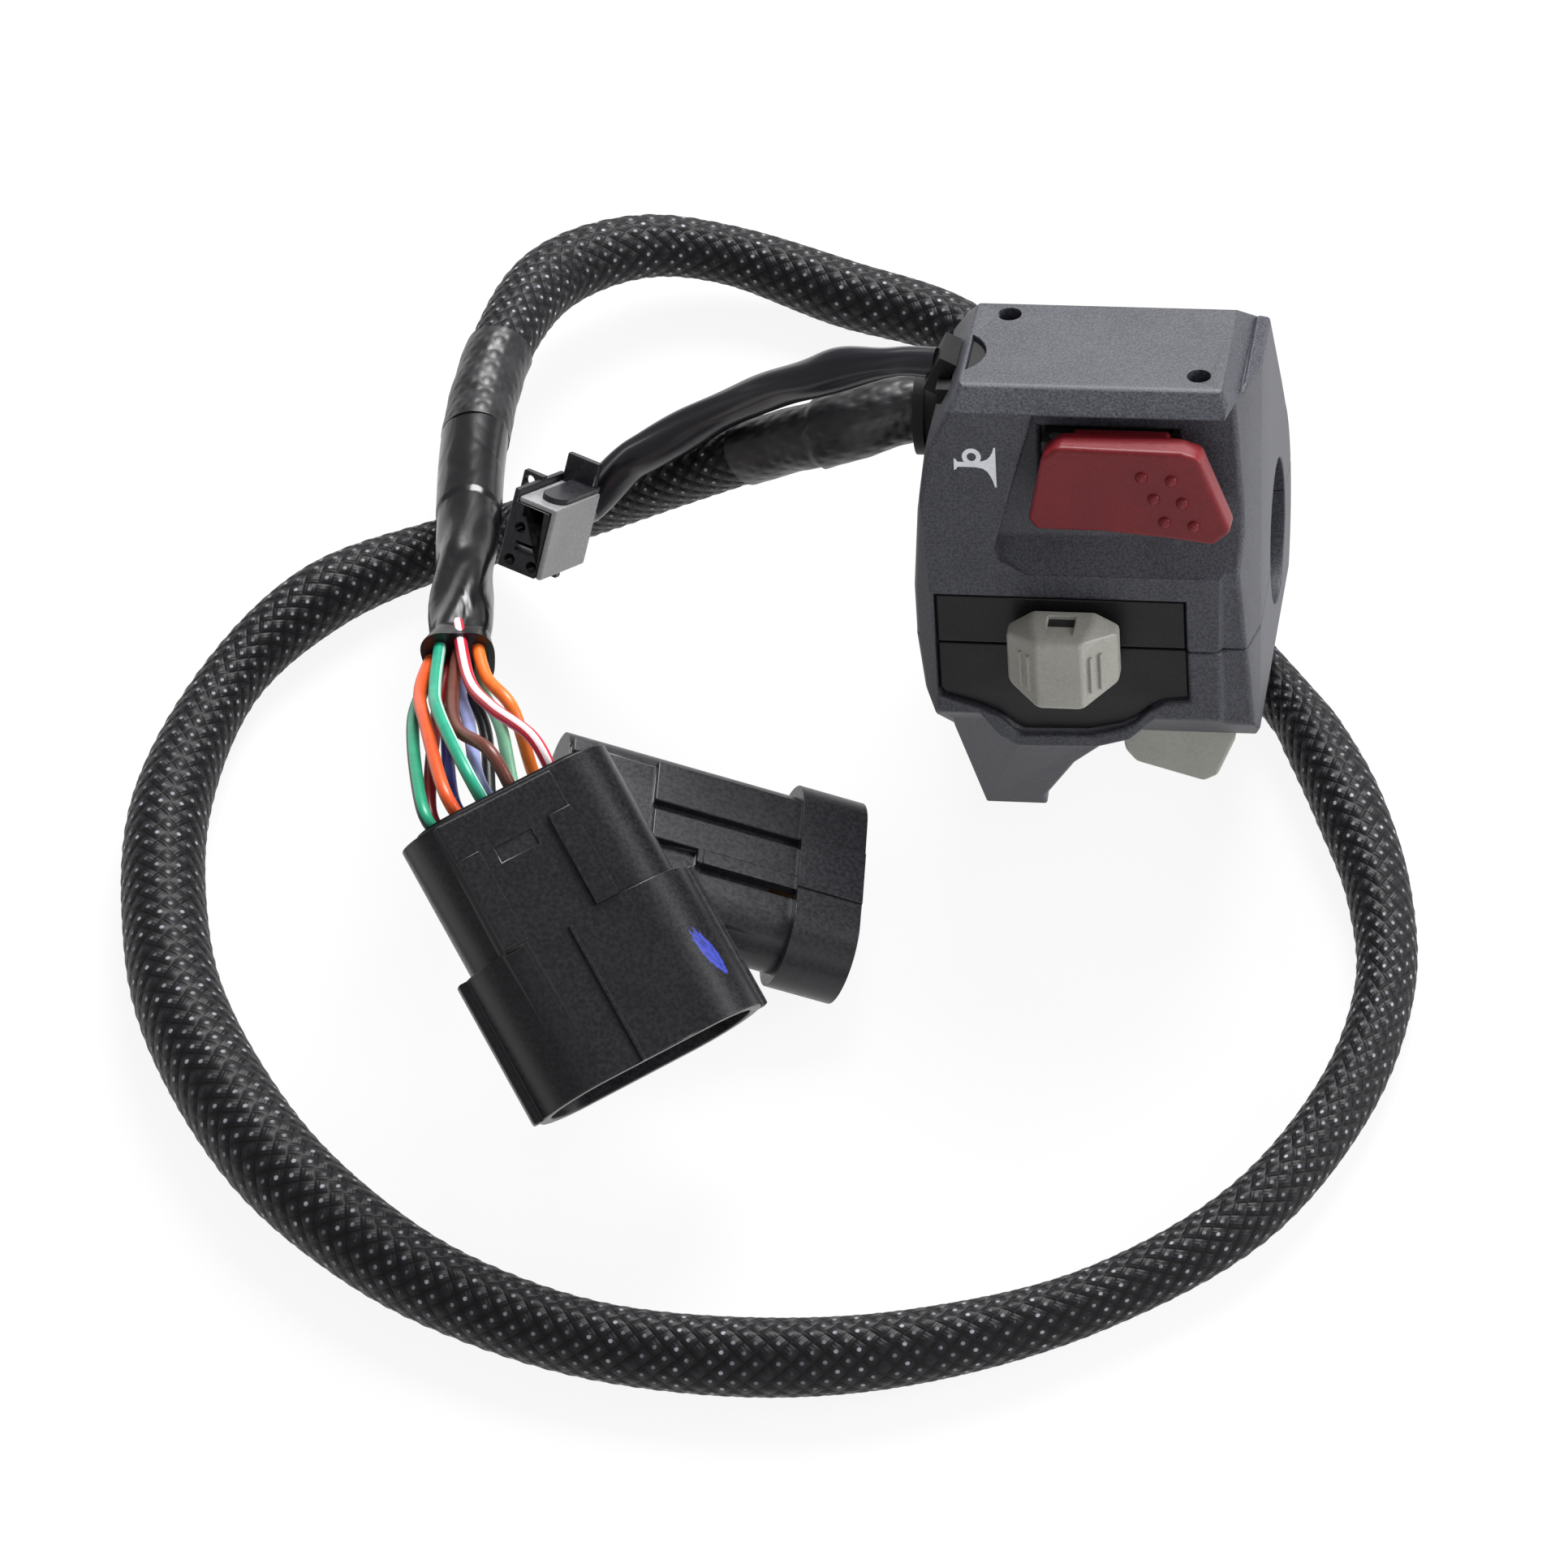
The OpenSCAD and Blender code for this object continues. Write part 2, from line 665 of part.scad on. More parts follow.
module upper_case() {
  color(dark_grey) lean() difference() {
    intersection() {
      half_case(upper_side, 0, far);
      along_y(-far, far) polygon(upper_end);
      plan_limit();
    }
    front_facet();
    right_strip();
    horn_pocket();
    difference() {
      along_x(-half_len + wall, half_len - wall) difference() {
        polygon([[ledge_back, -1], [ledge_back, pocket_z0 - wall], [horn_back_y, pocket_z0 - wall],
          [horn_back_y, case_top - wall], [top_back_y - 0.5, case_top - wall],
          [top_back_y + 3.6, case_top - wall - 3.6], [6, 25], [9, 19.6], [6, -1]]);
        circle(r = saddle_r);
      }
      along_y(-far, far)
        polygon([[-far, -1], [-half_len + wall, -1],
          for (i = [0:2]) [-half_len + flank_in[i] + wall, flank_z[i]],
          [-half_len + shoulder_l + 1.4, case_top - wall], [-far, case_top - wall]]);
      along_y(-far, far)
        polygon([[half_len - shoulder_r - 1.3, case_top], [half_len - shoulder_r - 1.3, case_top - wall],
          [half_len - wall, case_top - wall - rim_fall[0] - 1.4], [far, case_top - wall - rim_fall[0] - 1.4],
          [far, case_top]]);
      for (p = cores)
        translate([p[0], p[1], case_top - core_depth - wall]) cylinder(h = far, r = core_r + wall);
      translate([plug_x, plug_y, plug_z - wall]) cylinder(h = far, r = plug_r + wall);
    }
    bar_bore();
    bezel_seat();
    box([hinge_x - hinge_r - hinge_room, pocket_y - pocket_depth, ear_z0 - play],
      [window_x1, horn_back_y + 1, ear_z1 + play]);
    for (p = cores)
      translate([p[0], p[1], case_top - core_depth]) cylinder(h = far, r = core_r);
    screw_holes(screw_d / 2 + pin_play, -1, screw_reach + 0.5);
    translate([0, exit_y, exit_z]) rod_x(-far, -half_len + exit_depth, grommet_r + plug_play);
    lead_plug(plug_play);
  }
}

module lug() {
  intersection() {
    along_x(-far, far) polygon(lug_side);
    along_y(-far, far) polygon(lug_face);
    rotate([lean_deg, 0, 0]) translate([-far, -far, table_z]) cube(2 * far);
  }
}

module lower_cavity() {
  difference() {
    intersection() {
      along_x(-half_len + wall, half_len - wall) difference() {
        polygon([[ledge_back, 1], [ledge_back, chin_z], [front_y + 7.6, chin_z - 3.8],
          [belly_front + 0.5, -case_bottom + belly_rise + wall],
            [belly_mid, -case_bottom + belly_sag + wall],
          [-2, -case_bottom + belly_sag + wall], [-2, 1]]);
        circle(r = saddle_r);
      }
      along_y(-far, far)
        polygon([[-half_len + wall, 1], [-half_len + keel_in[0] + wall, keel_z[0]],
          [-half_len + keel_in[1] + wall, keel_z[1]], [-half_len + keel_in[2] + wall, -far],
          [half_len - keel_r - wall, -far], [half_len - keel_r - wall, -22],
          [half_len - wall, keel_r_z], [half_len - wall, 1]]);
    }
    for (x = base_ribs)
      box([x, base_rib_y0, -far], [x + base_rib_w, base_rib_y1, turn_base_z0]);
    box([trigger_x0 - trigger_room - bracket_t, bracket_y0, -far],
      [trigger_x0 - trigger_room, bracket_y1, bracket_z1]);
    box([trigger_x1 + trigger_room_r, bracket_y0, -far], [far, bracket_y1, bracket_z1]);
  }
}

module lower_case() {
  color(dark_grey) lean() difference() {
    union() {
      intersection() {
        half_case(lower_side, -far, 0);
        along_y(-far, far) polygon(lower_end);
        plan_limit();
      }
      along_y(front_y, front_y + chin_depth) polygon(chin_face);
      lug();
    }
    front_facet();
    right_strip();
    lower_cavity();
    bar_bore();
    bezel_seat();
    box([trigger_x0 - trigger_room, trigger_y0 - trigger_room, -far],
      [trigger_x1 + trigger_room_r, bracket_y1 + 0.1, pivot_z + barrel_r]);
    translate([0, pivot_y, pivot_z]) rod_x(0, half_len - wall, trigger_pin_d / 2 + pin_play);
    screw_holes(screw_d / 2 + pin_play, -far, 1);
    screw_holes(screw_head_d / 2 + play, -far, screw_seat);
  }
}

module case_screws() {
  color(steel) lean() for (side = [-1, 1])
    translate([side * screw_x, screw_y, screw_seat]) difference() {
      union() {
        cylinder(h = screw_reach - screw_seat, r = screw_d / 2);
        translate([0, 0, -screw_head_h]) cylinder(h = screw_head_h, r = screw_head_d / 2);
      }
      for (a = [0, 90])
        rotate([0, 0, a]) translate([-screw_head_d / 3, -0.5, -screw_head_h - 1])
          cube([screw_head_d * 2 / 3, 1, screw_head_h * 0.6 + 1]);
    }
}

module knob_slot() {
  box([knob_x - slot_w / 2, -far, -stem_h / 2 - play], [knob_x + slot_w / 2, 0, stem_h / 2 + play]);
}

module upper_bezel() {
  color(ink) lean() difference() {
    along_y(bezel_front, ledge_y) intersection() {
      bezel_outline_up(bezel_gap);
      translate([-far, bezel_gap / 2]) square([2 * far, far]);
    }
    knob_slot();
  }
}

module lower_bezel() {
  color(ink) lean() difference() {
    along_y(bezel_front, ledge_y) intersection() {
      bezel_outline_up(bezel_gap);
      bezel_outline_down(bezel_gap);
      translate([-far, -far - bezel_gap / 2]) square([2 * far, far]);
    }
    knob_slot();
    along_x(-far, far)
      polygon([[bezel_front - 1, bezel_dip], [bezel_front, bezel_dip], [ledge_y - scoop_floor, scoop_z],
        [bezel_front - 1, scoop_z]]);
  }
}

module horn_button() {
  barrel_z0 = ear_z0 + ear_t + play;
  barrel_z1 = ear_z1 - ear_t - play;
  paddle = [
    [horn_x0 + 4.5, horn_z1 - 0.2], [horn_x0 + 2.3, horn_z1 - 2.1], [horn_x0, horn_z0 + 2.6],
    [horn_x0 + 1.1, horn_z0 + 1], [horn_x0 + 11, horn_z0 + 1.3], [horn_x0 + 20.8, horn_z0 + 0.7],
    [horn_x1 - 2.6, horn_z0], [horn_x1, horn_z0 + 2.4], [horn_x1 - 4.3, horn_z1 - 0.9],
      [horn_x1 - 7, horn_z1]
  ];
  color(horn_red) lean() difference() {
    union() {
      translate([hinge_x, hinge_y, 0]) rotate([0, 0, -horn_splay]) translate([-hinge_x, -hinge_y, 0]) {
        along_y(horn_y, horn_y + horn_t) polygon(paddle);
        for (p = bumps)
          translate([p[0], horn_y + bump_d / 4, p[1]]) sphere(d = bump_d);
      }
      box([block_x0, block_y0, ear_z0 + 0.5], [block_x1, block_y1, ear_z1 - 0.4]);
      box([block_x0, block_y0, ear_z1 - 0.5], [block_x1, neck_y1, horn_z1 - 0.3]);
      box([hinge_x - 1.5, horn_y + 2, barrel_z0], [block_x0 + 0.5, hinge_y, barrel_z1]);
      translate([hinge_x, hinge_y, barrel_z0]) cylinder(h = barrel_z1 - barrel_z0, r = hinge_r);
    }
    translate([hinge_x, hinge_y, 0]) cylinder(h = far, r = horn_pin_d / 2 + pin_play);
  }
}

module horn_pivot_pin() {
  color(steel) lean() translate([hinge_x, hinge_y, ear_z0]) cylinder(h = ear_z1 - ear_z0,
    r = horn_pin_d / 2);
}

module horn_base() {
  color(ink) lean() difference() {
    union() {
      box([horn_base_x0, horn_back_y, horn_base_z0],
        [window_x1 + 0.8, horn_back_y + horn_base_depth, horn_base_z1]);
      for (z = [ear_z0, ear_z1 - ear_t])
        box([hinge_x - ear_w, hinge_y - ear_w, z], [hinge_x + ear_w, horn_back_y + 1, z + ear_t]);
    }
    translate([hinge_x, hinge_y, 0]) cylinder(h = far, r = horn_pin_d / 2 + pin_play);
    translate([spring_x, 0, spring_z]) rod_y(horn_back_y - 1, horn_back_y + spring_seat, seat_r);
    translate([cores[1][0], cores[1][1], 0]) cylinder(h = far, r = core_r + wall + play);
  }
}

module horn_spring() {
  color(steel) lean() translate([spring_x, horn_back_y + spring_seat, spring_z]) rotate([90, 0, 0])
    coil(horn_back_y + spring_seat - block_y1, spring_r, 0.6, 3);
}

module horn_contacts() {
  color(brass) lean() for (z = contact_z)
    box([contact_x0, horn_back_y - contact_t, z], [contact_x0 + contact_w, horn_back_y, z + contact_w]);
}

module turn_base() {
  rail = carriage_h / 2 + play;
  color(mid_grey) lean() difference() {
    union() {
      box([turn_base_x0, turn_base_y, turn_base_z0], [turn_base_x1, turn_base_back, turn_base_z1]);
      for (z = [-rail - rail_t, rail])
        box([turn_base_x0, plate_y1 + play, z], [turn_base_x1, turn_base_y + 1, z + rail_t]);
    }
    for (step = [-1, 0, 1])
      translate([ball_x + step * turn_travel, turn_base_y - 1, 0]) sphere(r = detent_r);
    box([board_x0, turn_base_y - 1, board_z0],
      [board_x0 + board_w, turn_base_y + board_t, board_z0 + board_h]);
  }
}

module turn_contact_board() {
  color(brass) lean()
    box([board_x0, turn_base_y, board_z0],
      [board_x0 + board_w, turn_base_y + board_t, board_z0 + board_h]);
}

module turn_carriage() {
  half_w = carriage_w / 2;
  plate_w = slot_w / 2 + turn_travel + 1;
  side = play / 2;
  color(ink) lean() difference() {
    union() {
      box([knob_x - plate_w, plate_y0, -mouth_z + 0.5], [knob_x + plate_w, plate_y1, mouth_z - 0.5]);
      box([knob_x - half_w, plate_y1 - 0.5, -carriage_h / 2],
        [knob_x + half_w, carriage_y1, carriage_h / 2]);
    }
    box([knob_x - stem_w / 2 - side, -far, -stem_h / 2 - side],
      [knob_x + stem_w / 2 + side, socket_floor, stem_h / 2 + side]);
    translate([ball_x, 0, 0]) rod_y(detent_y0, 0, ball_d / 2 + plug_play);
    box([wiper_x0, carriage_y1 - 1, wiper_z0], [wiper_x0 + wiper_w, 0, wiper_z0 + wiper_h]);
  }
}

module turn_knob() {
  w = knob_w / 2;
  h = knob_h / 2;
  eight = [
    [-0.55 * w, h], [0.58 * w, h], [w, 0.74 * h], [w, -0.33 * h],
    [0.18 * w, -h], [-0.43 * w, -h], [-w, -0.4 * h], [-w, 0.68 * h]
  ];
  slope = atan2(w - ridge_w / 2, knob_base_y - 3 - knob_front_y);
  color(mid_grey) lean() translate([knob_x, 0, knob_z]) difference() {
    union() {
      hull() {
        along_y(knob_base_y - 3, knob_base_y) polygon(eight);
        box([-ridge_w / 2, knob_front_y, -0.62 * h], [ridge_w / 2, knob_front_y + 1, 0.86 * h]);
      }
      for (side = [-1, 1], rib = [1.6, 3.4])
        translate([side * ridge_w / 2, knob_front_y, 0]) rotate([0, 0, side * (90 - slope)])
          translate([side * rib - 0.25, -0.45, -0.3 * h]) cube([0.5, 2, 0.8 * h]);
      box([-stem_w / 2, knob_base_y - 1, -stem_h / 2 - knob_z], [stem_w / 2, stem_end,
        stem_h / 2 - knob_z]);
    }
    box([-2, knob_front_y - 1, 0.91 * h], [2, knob_base_y - 1.4, h + 1]);
  }
}

module knob_spring() {
  color(steel) lean() translate([knob_x, socket_floor, 0]) rotate([90, 0, 0])
    coil(socket_floor - stem_end, 2.4, 0.5, 3);
}

module detent_ball() {
  color(steel) lean() translate([ball_x, ball_y, 0]) sphere(d = ball_d);
}

module detent_spring() {
  color(steel) lean() translate([ball_x, ball_y - ball_d / 2 - 0.1, 0]) rotate([90, 0, 0])
    coil(ball_y - ball_d / 2 - 0.1 - detent_y0, 0.9, 0.3, 4);
}

module turn_wiper() {
  foot_w = 1.4;
  color(brass) lean() {
    box([wiper_x0, carriage_y1 - 1, wiper_z0],
      [wiper_x0 + wiper_w, carriage_y1 - 0.5, wiper_z0 + wiper_h]);
    for (x = [wiper_x0 + 0.6, wiper_x0 + wiper_w - 0.6 - foot_w])
      box([x, carriage_y1 - 0.8, wiper_z0 + 0.3],
        [x + foot_w, turn_base_y - 0.1, wiper_z0 + wiper_h - 0.3]);
  }
}

module select_trigger() {
  tip = pivot_z - trigger_drop;
  color(pale_grey) lean() difference() {
    union() {
      along_y(trigger_y0, trigger_y0 + trigger_t)
        polygon([[trigger_x0, pivot_z], [trigger_x0, -18.5], [trigger_x0 + 0.4, -23],
          [trigger_x0 + 1.9, tip + 3.2],
          [trigger_x1 - 4.8, tip], [trigger_x1 - 2.8, tip + 1.1], [trigger_x1, tip + 7.6],
            [trigger_x1, pivot_z]]);
      box([trigger_x0, trigger_y0, pivot_z - barrel_r], [trigger_barrel_x1, pivot_y, pivot_z + barrel_r]);
      translate([0, pivot_y, pivot_z]) rod_x(trigger_x0, trigger_barrel_x1, barrel_r);
      box([web_x0, trigger_y0, pivot_z], [trigger_barrel_x1, trigger_y0 + trigger_t, pivot_z + web_h]);
    }
    translate([0, pivot_y, pivot_z]) {
      rod_x(0, far, trigger_pin_d / 2 + pin_play);
      rod_x(trigger_barrel_x1, far, trigger_pin_d / 2 + coil_out + play);
    }
  }
}

module select_pivot_pin() {
  color(steel) lean() translate([0, pivot_y, pivot_z])
    rod_x(trigger_x0 - trigger_room - bracket_t, half_len - wall - 0.2, trigger_pin_d / 2);
}

module select_spring() {
  color(steel) lean() translate([trigger_barrel_x1 + play, pivot_y, pivot_z]) rotate([0, 90, 0])
    coil(trigger_x1 - trigger_barrel_x1 - play, trigger_pin_d / 2 + coil_out, coil_wire, 4);
}

module select_switch() {
  color(ink) lean() box([7, ledge_back, chin_z], [17, ledge_back + 2.2, -7.6]);
}

module cable_grommet() {
  color(rubber) lean() translate([0, exit_y, exit_z]) difference() {
    union() {
      rod_x(-half_len - collar_t, -half_len + grommet_len, grommet_r);
      rod_x(-half_len - collar_t, -half_len, grommet_r + collar_out);
    }
    rod_x(-far, far, exit_bore_r);
  }
}

module lead_grommet() {
  color(rubber) lean() {
    intersection() {
      lead_plug(0);
      box([shoulder_x + 0.6, -far, 0], [far, far, case_top - 0.8]);
    }
    translate([shoulder_x, plug_y, flank_z[2]]) rotate([0, shoulder_slope, 0])
      box([-block_out, block_y[0], block_z[0]], [-plug_play, block_y[1], block_z[1]]);
  }
}

module exit_tape() color(ink) tube(harness, 0, exit_tape_end, harness_sides);
module harness_sleeve() color(dark_grey) tube(harness, exit_tape_end, sleeve_end, harness_sides);
module end_tape() color(ink) tube(harness, sleeve_end, end_tape_end, harness_sides);
module bundle_wrap() color(ink) tube(harness, end_tape_end, wrap_end, harness_sides);
module lead_tube() color(ink) tube(lead, 0, len(lead) - 1, lead_sides);
module wire(route, tint) color(tint) tube(route, 0, len(route) - 1, wire_sides, wire_d / 2);

module at_main() translate(main_pos) rotate([0, main_tilt, main_yaw]) children();
module at_second() translate(second_pos) rotate([0, second_tilt, second_yaw]) children();
module at_lead() translate(lead_pos) rotate(lead_turn) children();

module main_connector() {
  lock_z = main_deck - lock_sink;
  color(ink) at_main() difference() {
    union() {
      stadium(0, main_rear_len + 1, main_rear_w, main_rear_h);
      stadium(main_rear_len, main_len, main_w, main_h);
      box([main_deck_x, main_deck_y[0], 0], [main_rear_len + main_deck_over, main_deck_y[1], main_deck]);
      for (y = [main_deck_y[0], main_deck_y[1] - main_plate_w])
        box([main_plate_x0, y, 0], [main_rear_len, y + main_plate_w, main_deck + main_plate_up]);
      for (side = [-1, 1])
        box([main_rear_len, side * main_w / 2 - main_rib_out, -main_rib_t],
          [main_len, side * main_w / 2 + main_rib_out, main_rib_t]);
      box([main_rear_len + 1, main_ridge_y, 0],
        [main_len, main_ridge_y + main_ridge_w, main_h / 2 + main_ridge_up]);
    }
    stadium(main_rear_len + main_floor, main_len + 1, main_w - 2 * main_wall, main_h - 2 * main_wall);
    stadium(-1, main_seal_depth, main_seal_w, main_seal_h);
    box([main_lock_x, main_lock_y[0], lock_z], [main_lock_x + main_lock_len, main_lock_y[1], far]);
  }
}

module main_lock() {
  lock_z = main_deck - lock_sink;
  color(dark_grey) at_main()
    box([main_lock_x, main_lock_y[0], lock_z], [main_lock_x + main_lock_len, main_lock_y[1],
      lock_z + lock_t]);
}

module main_pins() {
  color(brass) at_main() for (i = [-2.5:2.5], row = [-1, 1])
    translate([0, i * main_pin_gap, row * main_pin_row])
      rod_x(main_rear_len + main_floor, main_len - main_pin_sink, pin_d / 2);
}

module main_seal() color(rubber) at_main() stadium(-seal_out, main_seal_depth, main_seal_w, main_seal_h);

module second_connector() {
  rail_top = second_top + second_rail_up;
  rail_end = second_body_len + 1;
  band_top = second_h / 2 + second_band_up;
  color(ink) at_second() difference() {
    union() {
      stadium(0, rail_end, second_body_w, second_body_h);
      stadium(second_body_len, second_len, second_w, second_h);
      for (y = [second_rail_far, second_rail_near])
        box([second_rail_x, y[0], 0], [rail_end, y[1], rail_top]);
      box([second_lock_x - 1, second_lock_y[0], 0], [rail_end, second_rail_near[0] + 1, rail_top]);
      box([second_body_len, second_lock_y[0], 0], [second_len, second_rail_far[0], band_top]);
      box([second_tab_x[0], second_tab_y[0], 0], [second_tab_x[1], second_tab_y[1], rail_top]);
    }
    stadium(second_len - second_socket, second_len + 1, second_w - 2 * second_wall,
      second_h - 2 * second_wall);
    stadium(-1, second_seal_depth, second_seal_w, second_seal_h);
    box([second_lock_x, second_lock_y[0] - 1, second_top - second_lock_down],
      [second_body_len, second_lock_y[1], far]);
  }
}

module second_lock() {
  color(dark_grey) at_second()
    box([second_lock_x, second_lock_y[0], second_top - second_lock_down],
      [second_body_len, second_lock_y[1], second_top + second_rail_up]);
}

module second_pins() {
  color(brass) at_second() for (y = second_pin_y, z = second_pin_z)
    translate([0, y, z]) rod_x(second_len - second_socket, second_len - second_pin_sink, pin_d / 2);
}

module second_seal() color(rubber) at_second() stadium(-seal_out, second_seal_depth,
  second_seal_w, second_seal_h);

// Shell over one side and the top of the small connector
module lead_shell(gap) {
  side = lead_w / 2;
  top = lead_h / 2;
  box([lead_seam - gap, side - lead_cover_t, -top], [lead_len - lead_seam + gap, side + gap, top + gap]);
  box([lead_seam - gap, -side + lip_w, top - lead_cover_t],
    [lead_len - lead_seam + gap, side + gap, top + gap]);
}

module lead_connector() {
  side = lead_w / 2;
  top = lead_h / 2;
  color(ink) at_lead() difference() {
    union() {
      box([0, -side, -top], [lead_len, side, top]);
      box([0, -side, top - 1], [lead_len, -side + lip_w, top + lip_up]);
      box([flange_x[0], flange_y, flange_z[0]], [flange_x[1], 0, flange_z[1]]);
      box([flange_x[0], foot_y[0], -top - foot_down], [flange_x[1], foot_y[1], 0]);
    }
    translate([0, flange_hole[0], flange_hole[1]]) rod_x(flange_x[0] - 1, flange_x[1] + 1, lead_hole_r);
    for (z = lead_slot_z)
      box([lead_len - lead_slot_depth, -lead_slot_w / 2, z - lead_slot_h / 2],
        [lead_len + 1, lead_slot_w / 2, z + lead_slot_h / 2]);
    for (p = lead_holes)
      translate([0, p[0], p[1]]) rod_x(lead_len - lead_hole_depth, lead_len + 1, lead_hole_r);
    lead_shell(far);
  }
}

module lead_cover() color(mid_grey) at_lead() lead_shell(0);

module lead_latch() {
  top = lead_h / 2;
  color(ink) at_lead() {
    box([0, -thumb_w / 2, top], [thumb_t, thumb_w / 2, top + thumb_up]);
    box([0, tongue_y - tongue_w / 2, top], [tongue_x, tongue_y + tongue_w / 2, top + tongue_t]);
    translate([tongue_x, tongue_y, top]) cylinder(h = tongue_t, r = tongue_w / 2);
  }
}

module lead_pins() {
  color(brass) at_lead() for (z = lead_slot_z)
    box([lead_len - lead_slot_depth, -lead_slot_w / 2, z - lead_slot_h / 2],
      [lead_len - lead_blade_sink, lead_slot_w / 2, z - lead_slot_h / 2 + lead_blade_h]);
}

module wire_green_left() wire(wire_green_left_route, [0.1, 0.4, 0.3]);
module wire_orange_left() wire(wire_orange_left_route, [0.9, 0.35, 0.08]);
module wire_green_mid() wire(wire_green_mid_route, [0.15, 0.45, 0.35]);
module wire_dark_red() wire(wire_dark_red_route, [0.4, 0.08, 0.08]);
module wire_lavender() wire(wire_lavender_route, [0.6, 0.65, 0.8]);
module wire_blue() wire(wire_blue_route, [0.15, 0.25, 0.5]);
module wire_brown() wire(wire_brown_route, [0.4, 0.2, 0.12]);
module wire_red_white() wire(wire_red_white_route, [0.85, 0.2, 0.2]);
module wire_black() wire(wire_black_route, [0.08, 0.08, 0.09]);
module wire_orange_right() wire(wire_orange_right_route, [0.9, 0.35, 0.08]);
module wire_pale_green() wire(wire_pale_green_route, [0.5, 0.75, 0.5]);

upper_case();
lower_case();
case_screws();
upper_bezel();
lower_bezel();
horn_button();
horn_pivot_pin();
horn_base();
horn_spring();
horn_contacts();
turn_base();
turn_carriage();
turn_knob();
knob_spring();
detent_ball();
detent_spring();
turn_contact_board();
turn_wiper();
select_trigger();
select_pivot_pin();
select_spring();
select_switch();
cable_grommet();
lead_grommet();
exit_tape();
harness_sleeve();
end_tape();
bundle_wrap();
lead_tube();
main_connector();
main_lock();
main_pins();
main_seal();
second_connector();
second_lock();
second_pins();
second_seal();
lead_connector();
lead_cover();
lead_latch();
lead_pins();
wire_green_left();
wire_orange_left();
wire_green_mid();
wire_dark_red();
wire_lavender();
wire_blue();
wire_brown();
wire_red_white();
wire_black();
wire_orange_right();
wire_pale_green();
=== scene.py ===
"""Looks of a motorbike handlebar switch cluster that lies on a table in the loop of its own harness."""

import json
import logging
import math
from collections.abc import Callable
from dataclasses import dataclass, field
from enum import Enum
from functools import partial
from typing import Any

import bpy
import numpy as np
from mathutils import Matrix, Vector


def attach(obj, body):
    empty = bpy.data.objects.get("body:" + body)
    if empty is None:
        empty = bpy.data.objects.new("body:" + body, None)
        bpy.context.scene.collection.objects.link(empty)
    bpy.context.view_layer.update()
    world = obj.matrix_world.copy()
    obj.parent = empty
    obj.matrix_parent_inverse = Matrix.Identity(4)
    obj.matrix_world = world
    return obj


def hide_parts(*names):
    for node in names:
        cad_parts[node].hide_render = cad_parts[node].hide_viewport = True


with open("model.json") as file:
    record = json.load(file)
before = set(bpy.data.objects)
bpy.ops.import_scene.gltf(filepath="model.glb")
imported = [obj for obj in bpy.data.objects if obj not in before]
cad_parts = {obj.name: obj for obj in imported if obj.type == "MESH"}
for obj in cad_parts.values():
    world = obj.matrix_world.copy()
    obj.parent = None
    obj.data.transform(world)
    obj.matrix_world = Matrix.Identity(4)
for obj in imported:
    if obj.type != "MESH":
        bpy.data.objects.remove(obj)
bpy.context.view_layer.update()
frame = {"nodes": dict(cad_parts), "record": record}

MM = 0.001
TABLE_Z = -32.8
LEAN = math.radians(16)
LOG = logging.getLogger("switch_cluster")

Point = tuple[float, float, float]
RoutePoint = tuple[float, float, float, float]
Span = tuple[float, float]
Socket = bpy.types.NodeSocket
AddNode = Callable[..., Any]

# Noise hardly leaves this span, so roughness swings from its one end to the other
NOISE_SPAN: Span = (0.3, 0.7)


class Body(Enum):
    """The rigid bodies that pieces ride on."""

    CLUSTER = "cluster"
    HORN = "horn"
    KNOB = "knob"
    TRIGGER = "trigger"


class Skin(Enum):
    """The relief on a cord's skin."""

    PLAIN = "plain"
    BRAID = "braid"
    TAPE = "tape over a braid"
    FILM = "creased film"
    FOLDED = "folded tube"


def leaned(x: float, y: float, z: float) -> Vector:
    """Turns a vector of the upright case into the row frame.

    Args:
        x: Along the bar.
        y: Away from the switch face.
        z: Up the switch face.

    Returns:
        The same vector in the row frame.
    """
    c, s = math.cos(LEAN), math.sin(LEAN)
    return Vector((x, y * c + z * s, z * c - y * s))


def linear(hex_text: str) -> tuple[float, float, float, float]:
    """Turns an sRGB hex colour into the linear colour that shaders take.

    Args:
        hex_text: Six hex digits.

    Returns:
        Linear red, green, blue and an alpha of one.
    """
    parts = [int(hex_text[i : i + 2], 16) / 255 for i in (0, 2, 4)]
    made = [p / 12.92 if p <= 0.04045 else ((p + 0.055) / 1.055) ** 2.4 for p in parts]
    return (made[0], made[1], made[2], 1.0)


def add_node(tree: bpy.types.NodeTree, kind: str, output: int | str = 0, **given: Any) -> Any:
    """Adds one shader node with its settings, values and links.

    Args:
        tree: The node tree of a material or world.
        kind: The node's type name after ShaderNode.
        output: Name or number of the output to give back.
        **given: Settings in small letters; inputs as i0, i1 and so on, or by name with _ for a space.

    Returns:
        The output socket, or nothing where the node has none.
    """
    node = tree.nodes.new(f"ShaderNode{kind}")
    for name, value in given.items():
        counted = name[0] == "i" and name[1:].isdigit()
        if not counted and name[0].islower():
            setattr(node, name, value)
            continue
        socket = node.inputs[int(name[1:]) if counted else name.replace("_", " ")]
        if isinstance(value, bpy.types.NodeSocket):
            tree.links.new(value, socket)
        else:
            socket.default_value = value
    return node.outputs[output] if len(node.outputs) else None


def blank_material(name: str) -> tuple[bpy.types.Material, AddNode]:
    """Starts a material.

    Args:
        name: What the material is.

    Returns:
        The material with no nodes, and add_node for its tree.
    """
    made = bpy.data.materials.new(name)
    made.use_nodes = True
    made.node_tree.nodes.clear()
    return made, partial(add_node, made.node_tree)


